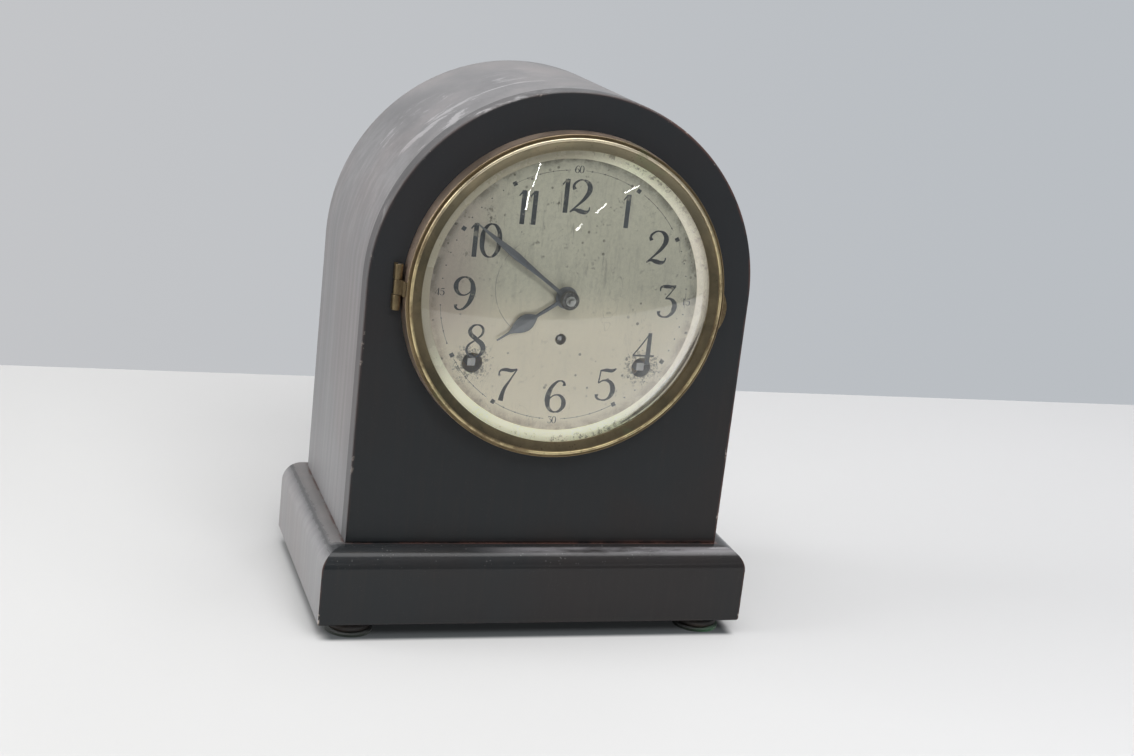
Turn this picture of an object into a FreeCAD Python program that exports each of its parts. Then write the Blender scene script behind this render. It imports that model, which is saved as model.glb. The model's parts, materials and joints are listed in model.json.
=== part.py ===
import FreeCAD, Part
import math
import os

# Beehive shelf clock: an arched wooden case on a moulded plinth, with a hinged
# glazed bezel over a five inch dial, and inside it an eight day movement that
# keeps time with a pendulum and strikes the hours on a coiled gong.
# Millimetres. X runs to the right, Y to the back, Z up. The origin is on the
# shelf, under the middle of the whole clock. A depth is measured back from the
# front face of the case, so it is negative in front of that face.

Vec = FreeCAD.Vector

# wooden case
case_width = 184.0
case_depth = 111.0
case_side_height = 123.0
shell_wall = 8.0
front_board_thickness = 10.0
front_opening_radius = 58.0
back_board_thickness = 6.0
back_board_inset = 3.0
case_edge_round = 1.2
wood_gap = 0.1

# plinth
plinth_height = 34.5
plinth_front_reach = 13.0
plinth_side_reach = 12.0
plinth_back_reach = 4.0
plinth_top_round = 9.5
plinth_foot_round = 2.6
moulding_width = 22.0
base_board_thickness = 14.0
corner_block_side = 26.0

# feet
foot_radius = 10.5
foot_height = 7.0
foot_round = 2.4
foot_inset_side = 17.0
foot_inset_end = 14.0
felt_radius = 11.3
felt_thickness = 1.2

# dial
dial_drop = 1.5
dial_radius = 64.6
dial_rise = 2.8
dial_thickness = 0.8
dial_flange_width = 3.6
dial_centre_hole_radius = 4.6
winding_hole_radius = 4.75
regulator_hole_radius = 2.65
winding_reach = 40.9
winding_drop = 32.5
regulator_drop = 20.15
dial_screw_count = 4
dial_screw_head_radius = 1.2
dial_screw_head_height = 0.8
dial_screw_shank_radius = 0.7
dial_screw_length = 6.0

# glazed bezel, with heights measured forward from the face of the case
glass_reach = 17.0
glass_thickness = 1.5
glass_edge_height = 6.3
bezel_gap = 0.3
bezel_flange_spread = 0.6
bezel_slope_width = 7.3
bezel_shoulder_height = 8.3
bezel_wall = 0.9
bezel_groove_width = 1.0
bezel_groove_depth = 0.6
bead_radius = 1.45
bead_height = 10.0
bead_steps = 6
lip_dial_gap = 3.7
lip_width = 2.3
lip_height = 7.9
reflector_dial_lap = 1.0
reflector_seat_width = 0.9
reflector_height = 4.6
reflector_thickness = 0.6

# bezel hinge and thumb tab
hinge_height = 21.0
hinge_offset = 1.3
hinge_barrel_radius = 1.9
hinge_pin_radius = 0.8
hinge_rise = 2.4
hinge_leaf_reach = 10.0
hinge_leaf_thickness = 0.8
hinge_running_gap = 0.05
hinge_side_gap = 0.2
hinge_wall_gap = 0.3
tab_height = 21.0
tab_offset = -3.7
tab_reach = 4.0
tab_rise = 1.2
tab_thickness = 0.9

# back door
door_side_margin = 24.0
door_sill_height = 18.0
door_gap = 0.8
door_hinge_height = 16.0
door_hinge_leaf = 9.0
door_hinge_leaf_thickness = 1.0
door_hinge_barrel_radius = 1.6
door_hinge_pin_radius = 0.7
door_hinge_low = 26.0
door_hinge_high = 96.0
button_length = 24.0
button_width = 8.0
button_thickness = 1.6
button_lift = 0.35
button_offset = 8.5
button_drop = 61.5
button_screw_radius = 1.5
button_screw_head_radius = 3.0
button_screw_head_height = 1.2
button_screw_depth = 4.0

# movement plates
plate_thickness = 1.8
plate_gap = 34.0
plate_low_half_width = 62.0
plate_high_half_width = 42.0
plate_bottom_drop = 68.0
plate_shoulder_drop = 4.0
plate_neck_rise = 16.0
plate_top_rise = 62.0
plate_corner_round = 6.0
pillar_radius = 3.0
pillar_pivot_radius = 2.0
pillar_inset = 6.0
nut_width = 7.0
nut_thickness = 2.6
lug_radius = 6.0
lug_low_stand_out = 2.0
lug_low_lift = 10.0
lug_high_stand_out = 4.0
lug_high_lowering = 11.0
movement_screw_radius = 1.5
movement_screw_head_radius = 3.0
movement_screw_head_height = 1.6
movement_screw_depth = 8.0

# arbors and wheels
arbor_radius = 1.5
thin_arbor_radius = 0.85
hand_arbor_radius = 1.5
pivot_radius = 0.6
running_gap = 0.05
end_shake = 0.25
pivot_stand_out = 0.6
wheel_thickness = 1.4
pinion_length = 3.4
tooth_addendum_share = 1.0
tooth_dedendum_share = 1.2
tooth_root_share = 0.62
tooth_tip_share = 0.17
leaf_addendum_share = 0.75
leaf_root_share = 0.36
leaf_tip_share = 0.2
rim_share = 0.8
hub_share = 0.3
crossing_count = 4
crossing_bar = 2.2

# going train
great_teeth = 36
great_pinion_leaves = 8
great_module = 1.4
second_teeth = 30
second_pinion_leaves = 8
second_module = 1.2
centre_teeth = 66
centre_pinion_leaves = 6
centre_module = 0.52
third_teeth = 60
third_pinion_leaves = 6
third_module = 0.5
third_bearing_angle = 60.0
escape_teeth = 44
escape_radius = 12.0
escape_tooth_depth = 1.9
escape_lean_share = 0.35
escape_back_share = 0.3

# layers of the trains, measured back from the front plate
second_layer = 1.2
great_layer = 4.6
centre_layer = 12.0
third_layer = 17.0
escape_layer = 23.0
ratchet_layer = 6.6
mainspring_layer = 9.2

# winding arbors, ratchets, clicks and mainsprings
winding_arbor_radius = 3.0
winding_pivot_radius = 2.5
winding_square = 3.6
winding_tip_depth = -1.4
ratchet_radius = 9.0
ratchet_tooth_depth = 1.8
ratchet_teeth = 12
ratchet_thickness = 1.4
click_length = 9.0
click_width = 3.0
click_pivot_radius = 1.1
click_clearance = 0.25
click_seat_angle = 100.0
mainspring_width = 18.0
mainspring_thickness = 0.5
mainspring_inner_radius = 4.2
mainspring_outer_radius = 24.0
mainspring_turns = 5
mainspring_steps = 12
mainspring_eye_gap = 0.4

# striking train
strike_second_angle = 75.0
pin_wheel_teeth = 30
pin_wheel_leaves = 8
pin_wheel_module = 1.0
pin_wheel_angle = 80.0
warning_teeth = 24
warning_leaves = 8
warning_module = 1.0
warning_angle = 60.0
fly_leaves = 7
fly_angle = 135.0
fly_half_width = 6.8
fly_length = 18.0
fly_thickness = 0.8
fly_hub_radius = 2.0
pin_wheel_layer = 13.0
warning_layer = 19.0
lifting_pin_count = 6
lifting_pin_radius = 0.9
lifting_pin_length = 3.0

# hammer
hammer_reach = 56.0
hammer_drop = 5.0
hammer_wire_radius = 1.0
hammer_eye_radius = 2.0
hammer_eye_half_length = 1.6
hammer_head_radius = 4.2
hammer_head_length = 9.0
hammer_tip_length = 2.0
hammer_tip_radius = 3.0
hammer_clearance = 1.0
hammer_tail_width = 2.0
hammer_tail_clearance = 1.2

# escapement and pendulum
verge_span_angle = 45.0
verge_clearance = 0.25
verge_strip = 1.1
verge_width = 4.0
verge_hub_radius = 2.2
swing_angle = 4.0
crutch_depth_gap = 2.0
crutch_drop = 24.0
crutch_radius = 0.7
crutch_collar_radius = 2.0
crutch_collar_length = 2.6
crutch_fork_thickness = 1.6
crutch_clearance = 0.3
pendulum_plane_gap = 9.0
pendulum_length = 140.0
pendulum_rod_radius = 1.1
suspension_strip_length = 9.0
suspension_strip_width = 5.0
suspension_strip_thickness = 0.3
suspension_grip = 2.5
suspension_play = 0.35
suspension_post_radius = 2.2
suspension_head_height = 5.6
bob_radius = 17.0
bob_thickness = 9.0
bob_rim_thickness = 1.6
bob_steps = 3
rating_nut_radius = 3.2
rating_nut_height = 3.0

# motion work and hands
cannon_leaves = 10
minute_wheel_teeth = 30
minute_pinion_leaves = 8
hour_wheel_teeth = 32
motion_module = 0.8
motion_angle = 150.0
motion_wheel_thickness = 1.2
hour_wheel_depth = 3.0
minute_wheel_depth = 6.9
motion_stud_radius = 1.2
cannon_pipe_radius = 2.3
hour_pipe_gap = 0.08
hour_pipe_wall = 0.8
hour_hand_rise = 4.4
minute_hand_rise = 6.3
hand_thickness = 0.6
hour_hand_length = 37.5
hour_hand_angle = 235.5
hour_hand_eye_radius = 5.2
hour_shaft_width = 2.0
hour_lobe_width = 8.0
hour_lobe_reach = 23.5
hour_lobe_length = 15.0
hour_tip_width = 1.1
hour_neck_share = 0.7
hour_tip_share = 0.6
hour_pear_share = 0.8
hour_lobe_steps = 7
minute_hand_length = 56.0
minute_hand_angle = 305.5
minute_hand_eye_radius = 4.0
minute_shaft_width = 1.7
minute_belly_width = 3.5
minute_belly_reach = 32.0
minute_tip_width = 0.5
minute_belly_shares = ((0.5, 0), (0.85, 0.8), (1, 1), (1.15, 0.9))
hand_nut_radius = 4.5
hand_nut_height = 4.4
hand_collet_radius = 3.4
hand_collet_height = 1.8
knurl_count = 20
knurl_depth = 0.35
centre_square = 2.1
centre_square_length = 1.4

# regulator
regulator_arbor_radius = 1.3
regulator_square = 1.8
regulator_tip_depth = -1.0
regulator_cam_radius = 5.0
regulator_cam_offset = 1.2
regulator_cam_thickness = 2.0

# gong
gong_plane_gap = 27.0
gong_height = 35.0
gong_outer_radius = 30.0
gong_inner_radius = 7.0
gong_turns = 4
gong_steps = 20
gong_wire_width = 2.0
gong_wire_depth = 2.6
gong_boss_radius = 8.2
gong_post_width = 14.0
gong_post_depth = 9.0
gong_foot_width = 46.0
gong_foot_depth = 20.0
gong_foot_height = 7.0
gong_foot_round = 3.0
gong_stand_gap = 1.4
gong_screw_radius = 1.8
gong_screw_head_radius = 3.4
gong_screw_head_height = 2.0
gong_screw_depth = 9.0
gong_screw_inset = 7.0

# cutters pass the solids that they cut by this much
overrun = 5.0

# places worked out from the sizes
overall_depth = glass_reach + case_depth + plinth_back_reach
front_y = glass_reach - overall_depth / 2
case_half = case_width / 2
plinth_bottom = felt_thickness + foot_height
plinth_top = plinth_bottom + plinth_height
arch_z = plinth_top + case_side_height
dial_z = arch_z - dial_drop
shell_inner = case_half - shell_wall
plinth_half = case_half + plinth_side_reach
plinth_front = front_y - plinth_front_reach
plinth_back = front_y + case_depth + plinth_back_reach
back_face = case_depth - back_board_inset
board_front = back_face - back_board_thickness
front_plate_depth = front_board_thickness
train_start = front_plate_depth + plate_thickness
train_end = train_start + plate_gap
back_plate_end = train_end + plate_thickness
pendulum_depth = back_plate_end + pendulum_plane_gap
gong_depth = back_plate_end + gong_plane_gap
door_half_width = shell_inner - door_side_margin
pillar_low_reach = plate_low_half_width - pillar_inset
pillar_low_drop = plate_bottom_drop - pillar_inset
pillar_high_reach = plate_high_half_width - pillar_inset
pillar_high_rise = plate_top_rise - pillar_inset
lug_low_reach = plate_low_half_width + lug_low_stand_out
lug_low_drop = plate_bottom_drop - lug_low_lift
lug_high_reach = plate_high_half_width + lug_high_stand_out
lug_high_rise = plate_top_rise - lug_high_lowering
dial_flange_radius = dial_radius + dial_flange_width
lip_radius = dial_radius + lip_dial_gap
glass_radius = lip_radius + lip_width
bezel_shoulder_radius = lip_radius + bezel_slope_width
bezel_flange_radius = bezel_shoulder_radius + bezel_flange_spread
reflector_inner_radius = dial_radius - reflector_dial_lap
reflector_outer_radius = lip_radius + reflector_seat_width
hinge_x = -(bezel_flange_radius + hinge_wall_gap + hinge_barrel_radius)
hinge_z = dial_z + hinge_offset
door_hinge_x = door_half_width + door_gap / 2
door_hinge_depth = back_face + door_hinge_barrel_radius


def polar(centre, reach, degrees):
    angle = math.radians(degrees)
    return (centre[0] + reach * math.cos(angle), centre[1] + reach * math.sin(angle))


def meeting_point(first, first_reach, second, second_reach):
    # the point at the given reaches from two centres, on the left of the line between them
    span_x = second[0] - first[0]
    span_z = second[1] - first[1]
    span = math.hypot(span_x, span_z)
    along = (span ** 2 + first_reach ** 2 - second_reach ** 2) / (2 * span)
    aside = math.sqrt(max(first_reach ** 2 - along ** 2, 0))
    unit_x = span_x / span
    unit_z = span_z / span
    return (first[0] + along * unit_x - aside * unit_z, first[1] + along * unit_z + aside * unit_x)


def centre_distance(teeth, leaves, module):
    return module * (teeth + leaves) / 2


# arbor places on the dial's own cross, as (x, z) from the dial centre
centre_place = (0, 0)
time_barrel = (winding_reach, -winding_drop)
strike_barrel = (-winding_reach, -winding_drop)
regulator_place = (0, -regulator_drop)
great_distance = centre_distance(great_teeth, great_pinion_leaves, great_module)
second_distance = centre_distance(second_teeth, second_pinion_leaves, second_module)
second_place = meeting_point(centre_place, second_distance, time_barrel, great_distance)
third_distance = centre_distance(centre_teeth, centre_pinion_leaves, centre_module)
third_place = polar(centre_place, third_distance, third_bearing_angle)
escape_distance = centre_distance(third_teeth, third_pinion_leaves, third_module)
escape_rise = math.sqrt(max(escape_distance ** 2 - third_place[0] ** 2, 0))
escape_place = (0, third_place[1] + escape_rise)
verge_rise = escape_radius / math.cos(math.radians(verge_span_angle))
verge_place = (0, escape_place[1] + verge_rise)
strike_second_place = polar(strike_barrel, great_distance, strike_second_angle)
pin_wheel_distance = centre_distance(second_teeth, pin_wheel_leaves, second_module)
pin_wheel_place = polar(strike_second_place, pin_wheel_distance, pin_wheel_angle)
warning_distance = centre_distance(pin_wheel_teeth, warning_leaves, pin_wheel_module)
warning_place = polar(pin_wheel_place, warning_distance, warning_angle)
fly_distance = centre_distance(warning_teeth, fly_leaves, warning_module)
fly_place = polar(warning_place, fly_distance, fly_angle)
hammer_place = (-hammer_reach, -hammer_drop)
motion_distance = centre_distance(minute_wheel_teeth, cannon_leaves, motion_module)
hour_module = 2 * motion_distance / (hour_wheel_teeth + minute_pinion_leaves)
motion_place = polar(centre_place, motion_distance, motion_angle)
pillar_places = [(side * pillar_low_reach, -pillar_low_drop) for side in (-1, 1)]
pillar_places += [(side * pillar_high_reach, pillar_high_rise) for side in (-1, 1)]
lug_places = [(side * lug_low_reach, -lug_low_drop) for side in (-1, 1)]
lug_places += [(side * lug_high_reach, lug_high_rise) for side in (-1, 1)]
dial_screw_reach = (dial_radius + dial_thickness + dial_flange_radius) / 2 + wood_gap
dial_screw_places = [
    polar(centre_place, dial_screw_reach, 45 + 360 * index / dial_screw_count)
    for index in range(dial_screw_count)
]


def world(place, depth):
    return Vec(place[0], front_y + depth, dial_z + place[1])


def rod(radius, place, start_depth, end_depth):
    return Part.makeCylinder(radius, end_depth - start_depth, world(place, start_depth), Vec(0, 1, 0))


def bar(x_low, x_high, depth_low, depth_high, z_low, z_high):
    corner = Vec(x_low, front_y + depth_low, z_low)
    return Part.makeBox(x_high - x_low, depth_high - depth_low, z_high - z_low, corner)


def upright(radius, x, y, z_low, z_high):
    return Part.makeCylinder(radius, z_high - z_low, Vec(x, y, z_low))


def polygon(points):
    return Part.makePolygon(points + points[:1])


def plate_face(outer, holes=()):
    return Part.makeFace([outer] + list(holes), "Part::FaceMakerBullseye")


def circle_wire(radius, place, depth):
    return Part.Wire(Part.makeCircle(radius, world(place, depth), Vec(0, 1, 0)))


def thicken(face, length):
    return face.extrude(Vec(0, length, 0))


def flat_wire(points, depth):
    return polygon([world(point, depth) for point in points])


def spin(points, place=centre_place):
    # revolves a closed outline of (radius, height) points about an axis through the place
    outline = [world((place[0] + reach, place[1]), -height) for reach, height in points]
    return Part.Face(polygon(outline)).revolve(world(place, 0), Vec(0, 1, 0), 360)


def joined(first, *others):
    return first.fuse(list(others)).removeSplitter() if others else first


def arch_wire(half_width, bottom_z, centre_z, radius, depth):
    y = front_y + depth
    left = Vec(-half_width, y, bottom_z)
    right = Vec(half_width, y, bottom_z)
    spring_left = Vec(-half_width, y, centre_z)
    spring_right = Vec(half_width, y, centre_z)
    crown = Vec(0, y, centre_z + radius)
    edges = [
        Part.LineSegment(left, spring_left).toShape(),
        Part.Arc(spring_left, crown, spring_right).toShape(),
        Part.LineSegment(spring_right, right).toShape(),
        Part.LineSegment(right, left).toShape(),
    ]
    return Part.Wire(edges)


def save(name, shape):
    shape.exportStep(f"parts/{name}.step")


# gear wheels

def mesh_phase(driver_place, driver_teeth, driver_phase, driven_place, driven_teeth):
    # the turn, in degrees, that puts a gap of the driven wheel over a tooth of its driver
    bearing = math.degrees(
        math.atan2(driven_place[1] - driver_place[1], driven_place[0] - driver_place[0])
    )
    carried = (driver_phase - bearing) * driver_teeth / driven_teeth
    return bearing + 180 - carried + 180 / driven_teeth


def tooth_ring(teeth, module, phase, place, depth, shares):
    addendum_share, dedendum_share, root_share, tip_share = shares
    pitch_radius = module * teeth / 2
    root_radius = pitch_radius - module * dedendum_share
    tip_radius = pitch_radius + module * addendum_share
    pitch_angle = 360 / teeth
    root_swing = pitch_angle * root_share / 2
    tip_swing = pitch_angle * tip_share / 2
    points = []
    for index in range(teeth):
        middle = phase + index * pitch_angle
        points.append(polar(place, root_radius, middle - root_swing))
        points.append(polar(place, tip_radius, middle - tip_swing))
        points.append(polar(place, tip_radius, middle + tip_swing))
        points.append(polar(place, root_radius, middle + root_swing))
    return flat_wire(points, depth)


wheel_shares = (tooth_addendum_share, tooth_dedendum_share, tooth_root_share, tooth_tip_share)
leaf_shares = (leaf_addendum_share, tooth_dedendum_share, leaf_root_share, leaf_tip_share)


def crossings(root_radius, place, depth):
    # the windows between the spokes of a wheel, each with straight sides
    rim = root_radius * rim_share
    hub = root_radius * hub_share
    windows = []
    for index in range(crossing_count):
        first = 360 * index / crossing_count
        last = 360 * (index + 1) / crossing_count
        rim_swing = math.degrees(crossing_bar / 2 / rim)
        hub_swing = math.degrees(crossing_bar / 2 / hub)
        middle = (first + last) / 2
        corners = [
            polar(place, hub, first + hub_swing),
            polar(place, rim, first + rim_swing),
            polar(place, rim, middle),
            polar(place, rim, last - rim_swing),
            polar(place, hub, last - hub_swing),
        ]
        windows.append(flat_wire(corners, depth))
    return windows


def gear(teeth, module, phase, place, depth, thickness, bore=0):
    holes = crossings(module * teeth / 2 - module * tooth_dedendum_share, place, depth)
    if bore:
        holes.append(circle_wire(bore, place, depth))
    face = plate_face(tooth_ring(teeth, module, phase, place, depth, wheel_shares), holes)
    return thicken(face, thickness)


def pinion(leaves, module, phase, place, depth, length):
    return thicken(plate_face(tooth_ring(leaves, module, phase, place, depth, leaf_shares)), length)


def arbor(place, radius):
    body = rod(radius, place, train_start + end_shake, train_end - end_shake)
    front_end = front_plate_depth - pivot_stand_out
    rear_end = back_plate_end + pivot_stand_out
    return joined(body, rod(pivot_radius, place, front_end, rear_end))


def wheel_on_arbor(place, radius, pinion_gear, wheel_gear):
    # a pinion and a wheel on one arbor, each given as (teeth, module, phase, layer)
    leaves, leaf_module, leaf_phase, leaf_layer = pinion_gear
    teeth, wheel_module, wheel_phase, wheel_layer = wheel_gear
    leaf_start = train_start + leaf_layer + wheel_thickness / 2 - pinion_length / 2
    leaf_start = max(leaf_start, train_start + end_shake)
    return joined(
        arbor(place, radius),
        pinion(leaves, leaf_module, leaf_phase, place, leaf_start, pinion_length),
        gear(teeth, wheel_module, wheel_phase, place, train_start + wheel_layer, wheel_thickness),
    )


# turns of the wheels that bring every pair into mesh at rest
second_pinion_phase = mesh_phase(
    time_barrel, great_teeth, 0, second_place, great_pinion_leaves
)
centre_pinion_phase = mesh_phase(
    second_place, second_teeth, 0, centre_place, second_pinion_leaves
)
third_pinion_phase = mesh_phase(
    centre_place, centre_teeth, 0, third_place, centre_pinion_leaves
)
escape_pinion_phase = mesh_phase(
    third_place, third_teeth, 0, escape_place, third_pinion_leaves
)
strike_pinion_phase = mesh_phase(
    strike_barrel, great_teeth, 0, strike_second_place, great_pinion_leaves
)
pin_pinion_phase = mesh_phase(
    strike_second_place, second_teeth, 0, pin_wheel_place, pin_wheel_leaves
)
warning_pinion_phase = mesh_phase(
    pin_wheel_place, pin_wheel_teeth, 0, warning_place, warning_leaves
)
fly_pinion_phase = mesh_phase(warning_place, warning_teeth, 0, fly_place, fly_leaves)
cannon_phase = 0
minute_wheel_phase = mesh_phase(
    centre_place, cannon_leaves, cannon_phase, motion_place, minute_wheel_teeth
)
hour_wheel_phase = mesh_phase(
    motion_place, minute_pinion_leaves, 0, centre_place, hour_wheel_teeth
)


# wooden case

def make_case_shell():
    length = case_depth - front_board_thickness
    outer = arch_wire(case_half, plinth_top, arch_z, case_half, front_board_thickness)
    inner = arch_wire(shell_inner, plinth_top - overrun, arch_z, shell_inner, front_board_thickness)
    shell = thicken(Part.Face(outer), length)
    return shell.cut(thicken(Part.Face(inner), length))


def make_front_board():
    outer = arch_wire(case_half, plinth_top, arch_z, case_half, 0)
    board = thicken(Part.Face(outer), front_board_thickness)
    rounded = [
        edge for edge in board.Edges
        if edge.BoundBox.YMax < front_y + case_edge_round
        and edge.BoundBox.ZMax > plinth_top + case_edge_round
    ]
    board = board.makeFillet(case_edge_round, rounded)
    board = board.cut(rod(front_opening_radius, centre_place, -overrun, front_board_thickness + overrun))
    leaf_end = hinge_x + hinge_leaf_reach
    mortise = bar(
        hinge_x - hinge_barrel_radius, leaf_end + wood_gap,
        -overrun, hinge_leaf_thickness + wood_gap,
        hinge_z - hinge_height / 2 - wood_gap, hinge_z + hinge_height / 2 + wood_gap,
    )
    board = board.cut(mortise)
    screw_start = front_board_thickness - movement_screw_depth - wood_gap
    for place in lug_places:
        hole_radius = movement_screw_radius + running_gap
        board = board.cut(rod(hole_radius, place, screw_start, front_board_thickness + overrun))
    for place in dial_screw_places:
        hole_radius = dial_screw_shank_radius + running_gap
        board = board.cut(rod(hole_radius, place, -overrun, dial_screw_length))
    return board


def make_back_board():
    half = shell_inner - wood_gap
    outer = arch_wire(half, plinth_top, arch_z, half, board_front)
    sill = plinth_top + door_sill_height
    opening = arch_wire(door_half_width, sill, arch_z, door_half_width, board_front)
    board = thicken(plate_face(outer, [opening]), back_board_thickness)
    return board.cut(make_button_screw_hole(running_gap))


def button_place():
    return (-(door_half_width + button_offset), -button_drop)


def make_button_screw_hole(gap):
    radius = button_screw_radius + gap
    return rod(radius, button_place(), back_face - button_screw_depth - gap, back_face + overrun)


def plinth_prism(half, low_y, high_y):
    # the plinth's rounded section, run along one way and trimmed by the same run along the other
    top_low = plinth_top - plinth_top_round
    foot_high = plinth_bottom + plinth_foot_round

    def section(low, high, at):
        diagonal_share = 1 - math.sqrt(0.5)
        top_cut = plinth_top_round * diagonal_share
        foot_cut = plinth_foot_round * diagonal_share
        edges = [
            Part.LineSegment(at(low + plinth_foot_round, plinth_bottom),
                             at(high - plinth_foot_round, plinth_bottom)).toShape(),
            Part.Arc(at(high - plinth_foot_round, plinth_bottom),
                     at(high - foot_cut, plinth_bottom + foot_cut), at(high, foot_high)).toShape(),
            Part.LineSegment(at(high, foot_high), at(high, top_low)).toShape(),
            Part.Arc(at(high, top_low), at(high - top_cut, plinth_top - top_cut),
                     at(high - plinth_top_round, plinth_top)).toShape(),
            Part.LineSegment(at(high - plinth_top_round, plinth_top),
                             at(low + plinth_top_round, plinth_top)).toShape(),
            Part.Arc(at(low + plinth_top_round, plinth_top),
                     at(low + top_cut, plinth_top - top_cut), at(low, top_low)).toShape(),
            Part.LineSegment(at(low, top_low), at(low, foot_high)).toShape(),
            Part.Arc(at(low, foot_high), at(low + foot_cut, plinth_bottom + foot_cut),
                     at(low + plinth_foot_round, plinth_bottom)).toShape(),
        ]
        return Part.Face(Part.Wire(edges))

    across = section(-half, half, lambda x, z: Vec(x, low_y, z)).extrude(Vec(0, high_y - low_y, 0))
    along = section(low_y, high_y, lambda y, z: Vec(-half, y, z)).extrude(Vec(2 * half, 0, 0))
    return across.common(along)


def floor_prism(points):
    face = Part.Face(polygon([Vec(x, y, plinth_bottom - overrun) for x, y in points]))
    return face.extrude(Vec(0, 0, plinth_height + 2 * overrun))


def make_plinth_mouldings():
    # front and side mouldings mitred at the front corners, and a rail between the sides behind;
    # the rounding of the block ends behind the pieces, which keeps their back face square
    block = plinth_prism(plinth_half, plinth_front, plinth_back + plinth_top_round)
    inner_half = plinth_half - moulding_width
    inner_front = plinth_front + moulding_width
    inner_back = plinth_back - moulding_width
    pieces = [
        floor_prism([(-plinth_half, plinth_front), (plinth_half, plinth_front),
                     (inner_half, inner_front), (-inner_half, inner_front)]),
        floor_prism([(-plinth_half, plinth_front), (-inner_half, inner_front),
                     (-inner_half, plinth_back), (-plinth_half, plinth_back)]),
        floor_prism([(plinth_half, plinth_front), (inner_half, inner_front),
                     (inner_half, plinth_back), (plinth_half, plinth_back)]),
        floor_prism([(-inner_half, inner_back), (inner_half, inner_back),
                     (inner_half, plinth_back), (-inner_half, plinth_back)]),
    ]
    return Part.makeCompound([block.common(piece) for piece in pieces])


def make_base_board():
    half = plinth_half - moulding_width - wood_gap
    low = plinth_front + moulding_width + wood_gap
    high = plinth_back - moulding_width - wood_gap
    corner = Vec(-half, low, plinth_top - base_board_thickness)
    board = Part.makeBox(2 * half, high - low, base_board_thickness, corner)
    for x, y in gong_screw_places():
        start = plinth_top - gong_screw_depth - wood_gap
        board = board.cut(upright(gong_screw_radius + running_gap, x, y, start, plinth_top + overrun))
    return board


def make_corner_blocks():
    half = plinth_half - moulding_width - wood_gap
    low = plinth_front + moulding_width + wood_gap
    high = plinth_back - moulding_width - wood_gap
    height = plinth_height - base_board_thickness
    blocks = []
    for x in (-half, half - corner_block_side):
        for y in (low, high - corner_block_side):
            corner = Vec(x, y, plinth_bottom)
            blocks.append(Part.makeBox(corner_block_side, corner_block_side, height, corner))
    return Part.makeCompound(blocks)


def foot_places():
    x = plinth_half - foot_inset_side
    low = plinth_front + foot_inset_end
    high = plinth_back - foot_inset_end
    return [(side * x, y) for side in (-1, 1) for y in (low, high)]


def make_feet():
    feet = []
    for x, y in foot_places():
        foot = upright(foot_radius, x, y, felt_thickness, plinth_bottom)
        lower = [edge for edge in foot.Edges if edge.BoundBox.ZMax < felt_thickness + foot_round]
        feet.append(foot.makeChamfer(foot_round, lower))
    return Part.makeCompound(feet)


def make_felt_pads():
    return Part.makeCompound([upright(felt_radius, x, y, 0, felt_thickness) for x, y in foot_places()])


# dial

def make_dial_plate():
    pan = spin([
        (0, dial_rise),
        (dial_radius, dial_rise),
        (dial_radius, dial_thickness),
        (dial_flange_radius, dial_thickness),
        (dial_flange_radius, 0),
        (dial_radius - dial_thickness, 0),
        (dial_radius - dial_thickness, dial_rise - dial_thickness),
        (0, dial_rise - dial_thickness),
    ])
    holes = [
        (dial_centre_hole_radius, centre_place),
        (winding_hole_radius, time_barrel),
        (winding_hole_radius, strike_barrel),
        (regulator_hole_radius, regulator_place),
    ]
    holes += [(dial_screw_shank_radius + running_gap, place) for place in dial_screw_places]
    for radius, place in holes:
        pan = pan.cut(rod(radius, place, -dial_rise - overrun, overrun))
    return pan


def make_dial_screws():
    screws = []
    for place in dial_screw_places:
        head_start = -dial_thickness - dial_screw_head_height
        head = rod(dial_screw_head_radius, place, head_start, -dial_thickness)
        shank = rod(dial_screw_shank_radius, place, -dial_thickness, dial_screw_length - wood_gap)
        screws.append(joined(head, shank))
    return Part.makeCompound(screws)


# glazed bezel

def dome_radius():
    sagitta = glass_reach - glass_edge_height
    return (glass_radius ** 2 + sagitta ** 2) / (2 * sagitta)


def dome_height(reach, inset=0):
    sphere = dome_radius() - inset
    return glass_reach - dome_radius() + math.sqrt(sphere ** 2 - reach ** 2)


def make_bezel_ring():
    # a spun brass ring: plain outer wall, sunk line, round bead and a slope down to the glass
    groove_outer = bezel_shoulder_radius - bezel_groove_width / 2
    groove_inner = groove_outer - bezel_groove_width
    groove_floor = bezel_shoulder_height - bezel_groove_depth
    bead_centre = groove_inner - bead_radius
    bead_base = bead_height - bead_radius
    under_lip = dome_height(lip_radius) + wood_gap
    under_slope = under_lip + bezel_wall / 2
    bead = []
    for index in range(bead_steps + 1):
        angle = math.pi * index / bead_steps
        bead.append((
            bead_centre + bead_radius * math.cos(angle),
            bead_base + bead_radius * math.sin(angle),
        ))
    return spin([
        (bezel_flange_radius, bezel_gap),
        (bezel_shoulder_radius, bezel_shoulder_height),
        (groove_outer, bezel_shoulder_height),
        (groove_outer, groove_floor),
        (groove_inner, groove_floor),
        *bead,
        (lip_radius, lip_height),
        (lip_radius, under_lip),
        (glass_radius, under_lip),
        (glass_radius + bezel_wall, glass_edge_height),
        (bezel_shoulder_radius - bezel_wall, under_slope - bezel_wall),
        (bezel_flange_radius - bezel_wall, bezel_gap),
    ])


def make_bezel_glass():
    centre_depth = dome_radius() - glass_reach
    centre = world(centre_place, centre_depth)
    lens = Part.makeSphere(dome_radius(), centre)
    lens = lens.cut(Part.makeSphere(dome_radius() - glass_thickness, centre))
    rim_height = dome_height(glass_radius, glass_thickness) - wood_gap
    return lens.common(rod(glass_radius - wood_gap, centre_place, -glass_reach - overrun, -rim_height))


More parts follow.
